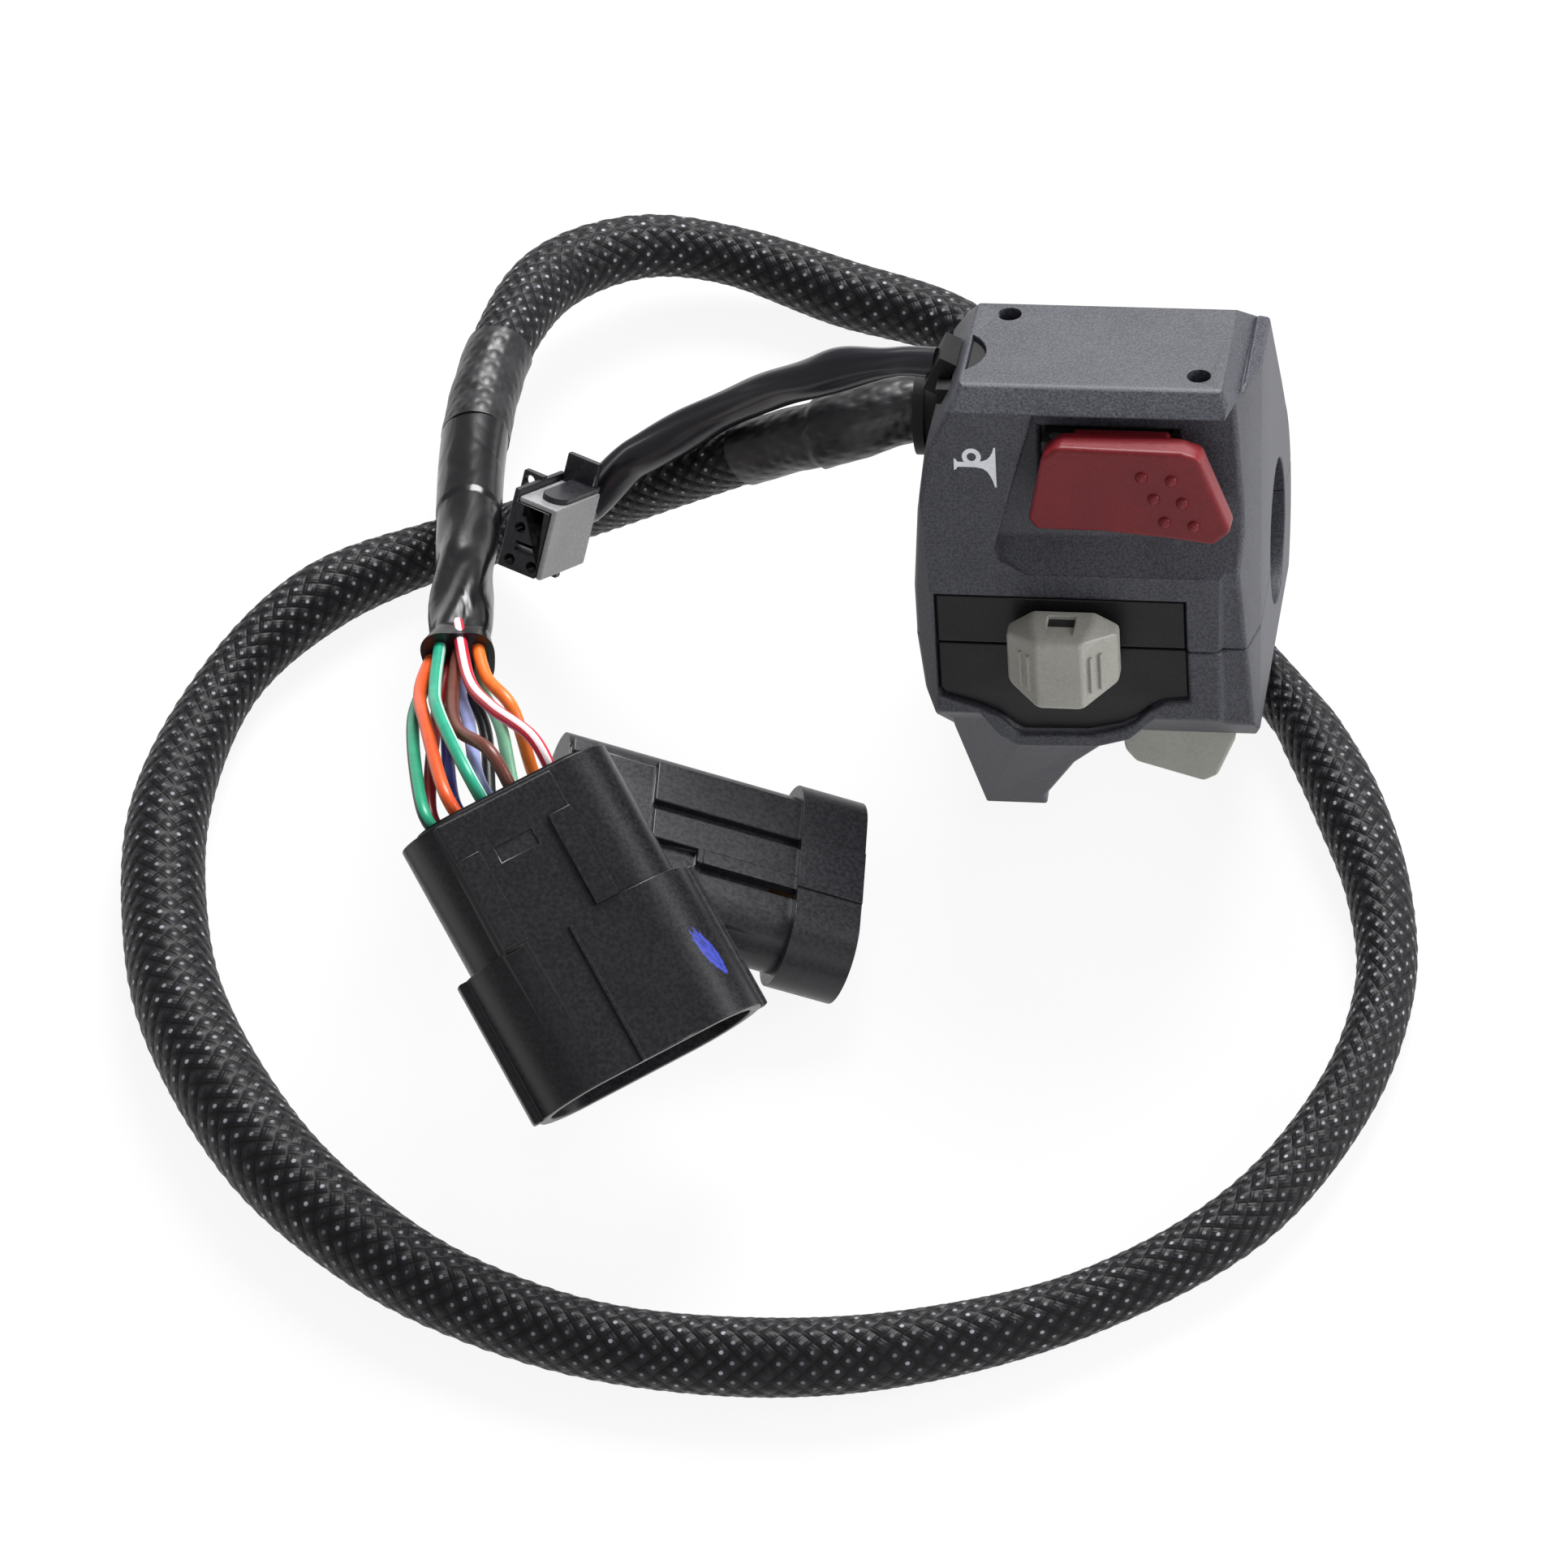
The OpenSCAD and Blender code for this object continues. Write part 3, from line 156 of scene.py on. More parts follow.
def close_material(
    made: bpy.types.Material, tone: Socket, height: Socket, depth_mm: float, **sockets: Any
) -> bpy.types.Material:
    """Gives a material its shader and its output.

    Args:
        made: The material.
        tone: Colour socket of the surface.
        height: Height socket of its relief.
        depth_mm: Depth of the relief in millimetres.
        **sockets: The shader's other inputs, as numbers or links.

    Returns:
        The material.
    """
    add = partial(add_node, made.node_tree)
    relief = add("Bump", Height=height, Strength=1.0, Distance=depth_mm * MM)
    surface = add("BsdfPrincipled", Base_Color=tone, Normal=relief, **sockets)
    add("OutputMaterial", Surface=surface)
    return made


@dataclass(frozen=True)
class PaintDab:
    """A brushed dab of marker paint: where it lies and how far it reaches, in millimetres.

    The brush draws the paint's ragged marks out lengthwise, tears its edge and leaves thin places.
    """

    tone: str
    thin_tone: str
    centre: Point
    along: Point
    half_length: float
    half_width: float
    ragged_mm: float = 0.5
    drawn_out: float = 0.3
    tear: float = 1.6
    edge_span: Span = (1.5, 1.75)
    thin_span: Span = (0.45, 0.7)

    def cover(self, add: AddNode, place: Socket, ground: Socket) -> Socket:
        """Lays the dab over a ground colour.

        Args:
            add: add_node for the material's tree.
            place: Object coordinates.
            ground: The colour under the paint.

        Returns:
            The colour with the dab on it.
        """
        way = tuple(Vector(self.along).normalized())
        offset = add("VectorMath", operation="SUBTRACT", i0=place, i1=tuple(v * MM for v in self.centre))
        far = add("VectorMath", "Value", operation="DOT_PRODUCT", i0=offset, i1=way)
        shadow = add("VectorMath", operation="SCALE", i0=way, Scale=far)
        aside = add("VectorMath", "Value", operation="DISTANCE", i0=offset, i1=shadow)
        long_part = add("Math", operation="DIVIDE", i0=far, i1=self.half_length * MM)
        wide_part = add("Math", operation="DIVIDE", i0=aside, i1=self.half_width * MM)
        reach = add("Math", operation="MULTIPLY_ADD", i0=long_part, i1=long_part,
                    i2=add("Math", operation="MULTIPLY", i0=wide_part, i1=wide_part))
        brushed = add("CombineXYZ", X=add("Math", operation="MULTIPLY", i0=far, i1=self.drawn_out), Y=aside)
        ragged = add("TexNoise", Vector=brushed, Scale=1 / (self.ragged_mm * MM), Detail=3.0)
        torn = add("Math", operation="MULTIPLY_ADD", i0=ragged, i1=self.tear, i2=reach)
        share = add("MapRange", Value=torn, From_Min=self.edge_span[0], From_Max=self.edge_span[1],
                    To_Min=1.0, To_Max=0.0)
        thin = add("MapRange", Value=ragged, From_Min=self.thin_span[0], From_Max=self.thin_span[1])
        paint = add("Mix", 2, data_type="RGBA", i0=thin, i6=linear(self.tone), i7=linear(self.thin_tone))
        return add("Mix", 2, data_type="RGBA", i0=share, i6=ground, i7=paint)


@dataclass(frozen=True)
class Moulded:
    """A moulded plastic or rubber: two close tones in soft clouds over a spark-eroded or smooth grain."""

    name: str
    tone: str
    fleck: str
    roughness: float
    grain_mm: float = 0.5
    grain_depth_mm: float = 0.01
    cloud_mm: float = 9.0
    grain_share: float = 0.5
    specular: float = 0.5
    fleck_span: Span = (0.38, 0.64)
    rough_swing: float = 0.06
    dab: PaintDab | None = None

    def make(self) -> bpy.types.Material:
        """Builds the plastic's material on Object coordinates."""
        made, add = blank_material(self.name)
        place = add("TexCoord", "Object")
        grain = add("TexNoise", Vector=place, Scale=1 / (self.grain_mm * MM), Detail=2.0)
        cloud = add("TexNoise", Vector=place, Scale=1 / (self.cloud_mm * MM), Detail=3.0)
        both = add("Mix", data_type="FLOAT", i0=self.grain_share, i2=cloud, i3=grain)
        share = add("MapRange", Value=both, From_Min=self.fleck_span[0], From_Max=self.fleck_span[1])
        tone = add("Mix", 2, data_type="RGBA", i0=share, i6=linear(self.tone), i7=linear(self.fleck))
        if self.dab:
            tone = self.dab.cover(add, place, tone)
        rough = add("MapRange", Value=both, From_Min=NOISE_SPAN[0], From_Max=NOISE_SPAN[1],
                    To_Min=self.roughness - self.rough_swing, To_Max=self.roughness + self.rough_swing)
        return close_material(made, tone, grain, self.grain_depth_mm,
                              Roughness=rough, Specular_IOR_Level=self.specular)


@dataclass(frozen=True)
class Metal:
    """A plain drawn or pressed metal with faint drawing lines."""

    name: str
    tone: str
    accent_tone: str
    roughness: float
    line_mm: float = 0.4
    line_depth_mm: float = 0.004
    drawn_out: float = 0.1

    def make(self) -> bpy.types.Material:
        """Builds the metal's material on Object coordinates."""
        made, add = blank_material(self.name)
        drawn = add("Mapping", Vector=add("TexCoord", "Object"), Scale=(self.drawn_out, 1.0, 1.0))
        lines = add("TexNoise", Vector=drawn, Scale=1 / (self.line_mm * MM), Detail=2.0)
        tone = add("Mix", 2, data_type="RGBA", i0=lines, i6=linear(self.tone), i7=linear(self.accent_tone))
        return close_material(made, tone, lines, self.line_depth_mm, Roughness=self.roughness, Metallic=1.0)


@dataclass(frozen=True)
class Weave:
    """The lay of a braided sleeve: ribbons of monofilament cross on the slant, one over and one under."""

    pitch_mm: float = 3.2
    ribbons: int = 12
    strands: int = 4
    # Keeps a point that lies on a ribbon's edge from falling on either side by chance
    nudge: float = 1e-6

    def shade(self, add: AddNode, uv: Socket) -> tuple[Socket, Socket]:
        """Adds the weave's relief to a material.

        Args:
            add: add_node for the material's tree.
            uv: The cord's map, with U in millimetres along it and V round it.

        Returns:
            The height of the ribbon on top, and the fine lines of its strands.
        """
        split = add("SeparateXYZ", Vector=uv).node.outputs
        along = add("Math", operation="DIVIDE", i0=split[0], i1=self.pitch_mm)
        around = add("Math", operation="MULTIPLY", i0=split[1], i1=float(self.ribbons))
        left = add("Math", operation="ADD", i0=along, i1=around)
        right = add("Math", operation="SUBTRACT", i0=along, i1=around)
        floors = [add("Math", operation="FLOOR", i0=side) for side in (left, right)]
        cell = add("Math", operation="ADD", i0=floors[0], i1=floors[1])
        on_top = add("Math", operation="ABSOLUTE", i0=add("Math", operation="MODULO", i0=cell, i1=2.0))
        crowns, lines = [], []
        for own, other in ((left, right), (right, left)):
            waves = []
            for side, turns in ((own, 1), (other, 1), (own, self.strands)):
                part = add("Math", operation="FRACT", i0=side)
                phase = add("Math", operation="MULTIPLY", i0=part, i1=math.pi * turns)
                wave = add("Math", operation="SINE", i0=phase)
                waves.append(add("Math", operation="ABSOLUTE", i0=wave))
            crowns.append(add("Math", operation="MULTIPLY", i0=waves[0], i1=waves[1]))
            lines.append(waves[2])
        mixed = [
            add("Mix", data_type="FLOAT", i0=on_top, i2=one, i3=two) for one, two in (crowns, lines)
        ]
        return mixed[0], mixed[1]

    def relief(self, along: np.ndarray, around: np.ndarray) -> np.ndarray:
        """Gives the same relief for a mesh.

        Args:
            along: Pitches along the cord.
            around: Turns round the cord.

        Returns:
            Heights from nought to one.
        """
        left, right = along + around * self.ribbons, along - around * self.ribbons
        on_top = (np.floor(left + self.nudge) + np.floor(right + self.nudge)) % 2
        heights = []
        for own, other in ((left, right), (right, left)):
            heights.append(np.abs(np.sin(np.pi * own)) * np.abs(np.sin(np.pi * other)))
        return np.where(on_top > 0.5, heights[1], heights[0])


SLEEVE_WEAVE = Weave()


@dataclass(frozen=True)
class BraidedSleeve:
    """An expandable sleeve of black polyester monofilament, with painted shade in the gaps and painted
    glints on the crowns.
    """

    name: str
    # Tone of the painted shade down in the gaps between ribbons
    gap_shade: str
    strand: str
    accent_tone: str
    roughness: float
    depth_mm: float = 0.18
    specular: float = 0.22
    # How far the painted shade reaches down the crowns and into the lines between strands
    ribbon_span: Span = (0.12, 0.6)
    strand_span: Span = (0.0, 0.6)
    strand_shade: float = 0.7
    strand_share: float = 0.12
    # Where the painted glints fall: the patches of noise and the height on a crown that they take
    glint_patch: Span = (0.42, 0.6)
    glint_crown: Span = (0.86, 0.95)

    def make(self) -> bpy.types.Material:
        """Builds the braid's material on the cord's UV map."""
        made, add = blank_material(self.name)
        uv = add("UVMap", uv_map="cord")
        crown, line = SLEEVE_WEAVE.shade(add, uv)
        # Painted shade: the colour darkens from the ribbon tone to the gap tone down each crown's flanks,
        # and along the lines between strands
        raised = add("MapRange", Value=crown, From_Min=self.ribbon_span[0], From_Max=self.ribbon_span[1])
        lit = add("MapRange", Value=line, From_Min=self.strand_span[0], From_Max=self.strand_span[1],
                  To_Min=self.strand_shade, To_Max=1.0)
        body = add("Math", operation="MULTIPLY", i0=raised, i1=lit)
        tone = add("Mix", 2, data_type="RGBA", i0=body, i6=linear(self.gap_shade), i7=linear(self.strand))
        # Painted highlight: a pale tone on the highest crowns, in random patches, stands for glints
        patch = add("TexNoise", Vector=uv, Scale=1 / SLEEVE_WEAVE.pitch_mm, Detail=1.0)
        glinting = add("MapRange", Value=patch, From_Min=self.glint_patch[0], From_Max=self.glint_patch[1])
        glint_peak = add("MapRange", Value=crown, From_Min=self.glint_crown[0], From_Max=self.glint_crown[1])
        share = add("Math", operation="MULTIPLY", i0=glint_peak, i1=glinting)
        tone = add("Mix", 2, data_type="RGBA", i0=share, i6=tone, i7=linear(self.accent_tone))
        height = add("Mix", data_type="FLOAT", i0=self.strand_share, i2=crown, i3=line)
        return close_material(made, tone, height, self.depth_mm,
                              Roughness=self.roughness, Specular_IOR_Level=self.specular)


@dataclass(frozen=True)
class WrappedTape:
    """Black vinyl tape drawn tight over a braid: half gloss, with the braid's crowns showing through it."""

    name: str
    tone: str
    scuff: str
    roughness: float
    depth_mm: float = 0.12
    scuff_mm: float = 5.0
    scuffs_round: float = 6.0
    scuff_span: Span = (0.35, 0.65)
    scuff_share: float = 0.5
    crown_span: Span = (0.25, 1.0)
    rough_swing: Span = (-0.05, 0.07)

    def make(self) -> bpy.types.Material:
        """Builds the tape's material on the cord's UV map."""
        made, add = blank_material(self.name)
        uv = add("UVMap", uv_map="cord")
        crown, _ = SLEEVE_WEAVE.shade(add, uv)
        drawn = add("Mapping", Vector=uv, Scale=(1 / self.scuff_mm, self.scuffs_round, 1.0))
        scuff = add("TexNoise", Vector=drawn, Scale=1.0, Detail=3.0)
        share = add("MapRange", Value=scuff, From_Min=self.scuff_span[0], From_Max=self.scuff_span[1])
        tone = add("Mix", 2, data_type="RGBA", i0=share, i6=linear(self.tone), i7=linear(self.scuff))
        low, high = (self.roughness + swing for swing in self.rough_swing)
        rough = add("MapRange", Value=scuff, From_Min=NOISE_SPAN[0], From_Max=NOISE_SPAN[1],
                    To_Min=low, To_Max=high)
        raised = add("MapRange", Value=crown, From_Min=self.crown_span[0], From_Max=self.crown_span[1])
        height = add("Mix", data_type="FLOAT", i0=self.scuff_share, i2=raised, i3=scuff)
        return close_material(made, tone, height, self.depth_mm, Roughness=rough)


@dataclass(frozen=True)
class SoftFilm:
    """Thin black PVC film or tube: wet gloss that breaks in long creases."""

    name: str
    tone: str
    crease: str
    roughness: float
    crease_mm: float = 7.0
    depth_mm: float = 0.4
    stretch: float = 5.0
    swirl: float = 0.8
    rough_swing: Span = (-0.05, 0.08)

    def make(self) -> bpy.types.Material:
        """Builds the film's material on the cord's UV map."""
        made, add = blank_material(self.name)
        uv = add("UVMap", uv_map="cord")
        drawn = add("Mapping", Vector=uv, Scale=(1 / self.crease_mm, self.stretch, 1.0))
        crease = add("TexNoise", Vector=drawn, Scale=1.0, Detail=2.0, Distortion=self.swirl)
        tone = add("Mix", 2, data_type="RGBA", i0=crease, i6=linear(self.tone), i7=linear(self.crease))
        low, high = (self.roughness + swing for swing in self.rough_swing)
        rough = add("MapRange", Value=crease, From_Min=NOISE_SPAN[0], From_Max=NOISE_SPAN[1],
                    To_Min=low, To_Max=high)
        return close_material(made, tone, crease, self.depth_mm, Roughness=rough)


@dataclass(frozen=True)
class WireSkin:
    """Drawn PVC insulation: one colour in faint clouds, and on some wires a stripe of a second colour."""

    name: str
    tone: str
    second: str
    # Where the stripe starts and ends, as shares of the way round
    stripe: Span = (0.0, 0.0)
    cloud_mm: float = 3.0
    cloud_span: Span = (0.4, 0.8)
    grime: str = "101010"
    grime_share: float = 0.25
    depth_mm: float = 0.02
    roughness: float = 0.36

    def make(self) -> bpy.types.Material:
        """Builds the insulation's material with its stripe on the wire's UV map."""
        made, add = blank_material(self.name)
        uv = add("UVMap", uv_map="cord")
        cloud = add("TexNoise", Vector=uv, Scale=1 / self.cloud_mm, Detail=2.0)
        share = add("MapRange", Value=cloud, From_Min=self.cloud_span[0], From_Max=self.cloud_span[1],
                    To_Min=0.0, To_Max=self.grime_share)
        tone = add("Mix", 2, data_type="RGBA", i0=share, i6=linear(self.tone), i7=linear(self.grime))
        around = add("SeparateXYZ", 1, Vector=uv)
        past = add("Math", operation="GREATER_THAN", i0=around, i1=self.stripe[0])
        before = add("Math", operation="LESS_THAN", i0=around, i1=self.stripe[1])
        inside = add("Math", operation="MULTIPLY", i0=past, i1=before)
        tone = add("Mix", 2, data_type="RGBA", i0=inside, i6=tone, i7=linear(self.second))
        return close_material(made, tone, cloud, self.depth_mm, Roughness=self.roughness)


Finish = Moulded | Metal | BraidedSleeve | WrappedTape | SoftFilm | WireSkin

# Spark-eroded ABS: a dry dark grey with pale grit, dull even in full light. The real grit is finer,
# and is drawn coarser so that it shows at this distance
CASE_ABS = Moulded(
    "case ABS, spark-eroded", "2a2b32", "4b4c55", 0.5, grain_mm=0.34, grain_depth_mm=0.04, grain_share=0.8)
# Smooth black ABS: darker and sleeker than the case
BEZEL_ABS = Moulded("bezel ABS, smooth black", "141416", "1f1f22", 0.4, grain_depth_mm=0.006, specular=0.3)
# Satin red ABS: deep red with a soft broad shine on its edges
HORN_ABS = Moulded("horn ABS, satin red", "6a121a", "781c24", 0.42, grain_depth_mm=0.014, specular=0.35)
# Satin grey ABS: warm grey, soft shine
KNOB_ABS = Moulded("knob ABS, satin grey", "92918a", "a09f98", 0.42, grain_depth_mm=0.012)
# Pale grey ABS: the same gloss as the knob, a little paler
TRIGGER_ABS = Moulded("trigger ABS, pale grey", "999a92", "a6a79f", 0.42, grain_depth_mm=0.012)
# Glass-filled nylon: dull black inner parts
INSULATOR = Moulded("switch body nylon", "1b1b1d", "2a2a2c", 0.5)
# Moulded PBT: black with a faint grey bloom and crisp bright edges
CONNECTOR_PBT = Moulded(
    "connector PBT, moulded", "1d1d21", "29292e", 0.36, grain_mm=0.6, grain_depth_mm=0.012,
    grain_share=0.85, specular=0.4)
# The same PBT a little blacker, with a brushed stroke of blue marker paint on the hood
MAIN_PBT = Moulded(
    "connector PBT with a paint dab", "111114", "1c1c21", 0.36, grain_mm=0.6, grain_depth_mm=0.012,
    grain_share=0.85, specular=0.4,
    dab=PaintDab("3a45a6", "1d245c", (-49.5, -87.9, 4.2), (5.0, -3.56, -4.69), 4.3, 1.4),
)
# Polished polypropylene: a grey shell that mirrors the room softly
COVER_PP = Moulded("cover polypropylene, polished", "8f8e90", "a3a2a4", 0.24, grain_depth_mm=0.004)
# Soft rubber: dull and deep black
BLACK_RUBBER = Moulded("grommet rubber", "0e0e0f", "18181a", 0.55, grain_mm=0.6, specular=0.3)
# Screen ink: flat white on the case
WHITE_INK = Moulded("screen ink, white", "dfe1ea", "f2f3f8", 0.6, grain_depth_mm=0.004)
# Drawn steel: bright, with fine lines along the draw
DRAWN_STEEL = Metal("drawn steel", "b9bbbf", "8f9195", 0.3)
# Stamped brass: warm and half bright
PIN_BRASS = Metal("contact brass", "c9a35a", "a98644", 0.3)
# Tinned blades: white metal that catches the light in the slots
TINNED = Metal("tinned copper", "d9d9dc", "b4b5b9", 0.34)
# Braided polyester: a dull black net of slanting ribbons, with painted shade in its gaps and pale painted
# glints on its highest crowns
SLEEVE_BRAID = BraidedSleeve("braided polyester sleeve", "0b0b0d", "1b1b1f", "9a9aa2", 0.46)
# Vinyl tape: half-gloss black, lumpy over the braid that it holds
VINYL_TAPE = WrappedTape("vinyl tape", "131315", "27272a", 0.38)
# Thin PVC film: wet black gloss, broken by long creases over the wires
BUNDLE_FILM = SoftFilm("bundle film, PVC", "0a0a0c", "16161a", 0.24, crease_mm=12.0)
# Soft PVC tube: the same gloss on one smooth, slowly folding skin
LEAD_PVC = SoftFilm("lead tube PVC", "111115", "24242b", 0.26, crease_mm=30.0, depth_mm=0.3, stretch=3.0)

SLOT_FINISH: dict[str, Finish] = {
    "case": CASE_ABS, "bezel": BEZEL_ABS, "horn": HORN_ABS, "knob": KNOB_ABS, "trigger": TRIGGER_ABS,
    "insulator": INSULATOR, "connector": CONNECTOR_PBT, "cover": COVER_PP, "rubber": BLACK_RUBBER,
    "steel": DRAWN_STEEL, "brass": PIN_BRASS,
}

# The harness as it lies: X, Y, Z and radius in millimetres
HARNESS: tuple[RoutePoint, ...] = (
    (-20, 0.1, 25.7, 4.2), (-27.8, -0.3, 25.7, 4.3), (-37.4, -2.6, 24, 4.6), (-48.2, -1.7, 18.5, 4.5),
    (-54.2, -0.8, 15, 4.6), (-66.7, 1.8, 6, 4.6), (-79.8, 5.7, -5, 4.5), (-95.6, 13.4, -20.5, 4.6),
    (-109.7, 15.1, -28, 4.7), (-126.4, 3.8, -27.2, 5.5), (-138.4, -14.1, -27.7, 5),
    (-142.9, -40, -26.5, 6.2), (-139.2, -65, -26.1, 6.6), (-131.6, -84.4, -25.7, 7),
    (-116.8, -105.7, -25.6, 7.1), (-99.9, -120.5, -26.1, 6.6), (-83, -129.8, -26.7, 6),
    (-62, -136.1, -27, 5.7), (-37.3, -137.5, -26.9, 5.8), (-14.6, -133.5, -27.3, 5.4),
    (8.2, -123.8, -28, 4.7), (28.6, -107.9, -27.9, 4.8), (41, -86.4, -28.1, 4.6),
    (45.6, -65.2, -28.2, 4.5), (43.4, -47.3, -27.8, 4.9), (37.8, -31.6, -27.3, 5.4),
    (31.6, -18.5, -27.7, 5), (26.9, -10.6, -28.3, 4.4), (12.4, 8, -28.5, 4.2), (-2.2, 26.6, -28.4, 4.3),
    (-16.7, 45.2, -28.2, 4.5), (-31.3, 63.8, -27.8, 4.9), (-51.9, 70.8, -26.5, 5.4),
    (-71.1, 76.2, -24, 4.8), (-85.8, 74.5, -21, 5.2), (-98.1, 64.4, -18.5, 5.6), (-102.6, 44.5, -14, 5),
    (-102.7, 23.2, -10.5, 5), (-99.9, 0.8, -6, 4.8), (-98.5, -9.6, -3.5, 4.6), (-96.9, -20, -0.8, 4.6),
    (-95.7, -29.5, 1.5, 4.5),
)
LEAD: tuple[RoutePoint, ...] = (
    (-22.8, -4.2, 40.2, 2.2), (-27.2, -3.7, 39.9, 2.2), (-30.6, -3.7, 39.3, 2.4), (-37, -2.9, 37, 3.2),
    (-42.2, -2.4, 34, 3.1), (-49, -1, 29.5, 2.9), (-55.9, 0.3, 24, 2.9), (-62.5, 0.1, 19.4, 3.1),
    (-69.2, -0.5, 14.6, 3.2), (-73.1, -1.3, 11.8, 3), (-79, -4.5, 6.3, 2.8), (-80.3, -7.9, 8.5, 2.4),
)
WIRE_R = 1.0
WIRES: dict[str, tuple[Point, ...]] = {
    "wire_green_left": (
        (-98.1, -28.9, -1.1), (-100.1, -41.5, 2.5), (-97.8, -55.1, 9.5),
        (-92.4, -74, 17.5), (-89.7, -77.4, 15)),
    "wire_orange_left": (
        (-99.2, -28.5, 1.1), (-99.1, -42.4, 6.5), (-95.4, -54.8, 13),
        (-89.6, -71, 18.4), (-86.4, -75.1, 15.4)),
    "wire_green_mid": (
        (-98.3, -27.8, 3.4), (-96.3, -43.6, 9), (-93.3, -54, 15),
        (-86.7, -67.7, 18.9), (-83, -72.5, 15.4)),
    "wire_dark_red": (
        (-97.1, -28.3, 0.8), (-96.4, -42.3, 4.2), (-95, -53.5, 9),
        (-92.1, -71.4, 14.1), (-89.5, -74.8, 11.6)),
    "wire_lavender": (
        (-95, -28.1, 0.3), (-94, -39.4, 3.2), (-90.2, -50.4, 9),
        (-85.8, -65.5, 14.9), (-82.6, -69.6, 11.9)),
    "wire_blue": (
        (-95.8, -28.8, -2.1), (-95.8, -40.3, 0.8), (-93.4, -52.4, 7),
        (-89.1, -69.1, 14.2), (-86.5, -72.5, 11.7)),
    "wire_brown": (
        (-95.6, -27.7, 2.3), (-93.9, -42.8, 7.6), (-90.5, -55.7, 14),
        (-83.7, -64, 19), (-79.4, -69.5, 15)),
    "wire_red_white": (
        (-96, -27.3, 4.4), (-91.2, -42.7, 9.5), (-85.6, -52.4, 15),
        (-77.9, -60.7, 18.5), (-74.2, -65.4, 15)),
    "wire_black": (
        (-93.5, -28.3, -1.1), (-92.5, -37.9, 0), (-89.2, -46.1, 1),
        (-85.2, -63.5, -1.6), (-77.1, -63, -5.5)),
    "wire_orange_right": (
        (-93.6, -27.2, 3.4), (-89.9, -38.3, 5.5), (-84.5, -45.6, 6.5),
        (-81.2, -51.3, -3.3), (-77.7, -51, -5.1)),
    "wire_pale_green": (
        (-92.6, -27.6, 1.1), (-90.8, -38.3, 2.6), (-86.4, -47.2, 4),
        (-82.8, -57.1, -2.6), (-77.4, -56.7, -5.3)),
}
# Drawn PVC insulation: clean bright colours with a soft shine along each wire
WIRE_SKIN: dict[str, WireSkin] = {
    "wire_green_left": WireSkin(
        "green PVC insulation with a black stripe", "1f9a74", "121212", (0.0, 0.13)),
    "wire_orange_left": WireSkin("orange PVC insulation", "ea5a24", "b8431a"),
    "wire_green_mid": WireSkin(
        "sea green PVC insulation with a pale stripe", "22a582", "b9dccd", (0.36, 0.45)),
    "wire_dark_red": WireSkin("dark red PVC insulation", "840d14", "5e0a0f"),
    "wire_lavender": WireSkin("lavender PVC insulation", "9aa6d8", "7f8ac0"),
    "wire_blue": WireSkin("dark blue PVC insulation", "1d2470", "151a50"),
    "wire_brown": WireSkin("brown PVC insulation", "6e3a2f", "4c2820"),
    "wire_red_white": WireSkin(
        "red PVC insulation with a white stripe", "d3283f", "f0dde1", (0.17, 0.33)),
    "wire_black": WireSkin("black PVC insulation", "1b1b1d", "111112"),
    "wire_orange_right": WireSkin("bright orange PVC insulation", "fb7d2f", "d8641f"),
    "wire_pale_green": WireSkin("pale green PVC insulation", "86c4a0", "69a683"),
}


def only_select(piece: bpy.types.Object) -> None:
    """Deselects everything, then selects one piece and makes it active."""
    bpy.ops.object.select_all(action="DESELECT")
    piece.select_set(True)
    bpy.context.view_layer.objects.active = piece


# CAD points this near are one, and CAD triangles within this angle in degrees are one flat face
MERGE_MM = 0.001
FLAT_WITHIN = 0.4


def copy_node(node: str, name: str) -> bpy.types.Object:
    """Copies a CAD node as a piece of its own with merged points and flat faces in one.

    Args:
        node: The CAD node.
        name: The new piece's name.

    Returns:
        The copy, at the origin.
    """
    source = frame["nodes"][node]
    piece = bpy.data.objects.new(name, source.data.copy())
    bpy.context.scene.collection.objects.link(piece)
    only_select(piece)
    bpy.ops.object.mode_set(mode="EDIT")
    bpy.ops.mesh.select_all(action="SELECT")
    bpy.ops.mesh.remove_doubles(threshold=MERGE_MM * MM)
    bpy.ops.mesh.dissolve_limited(angle_limit=math.radians(FLAT_WITHIN))
    bpy.ops.object.mode_set(mode="OBJECT")
    return piece


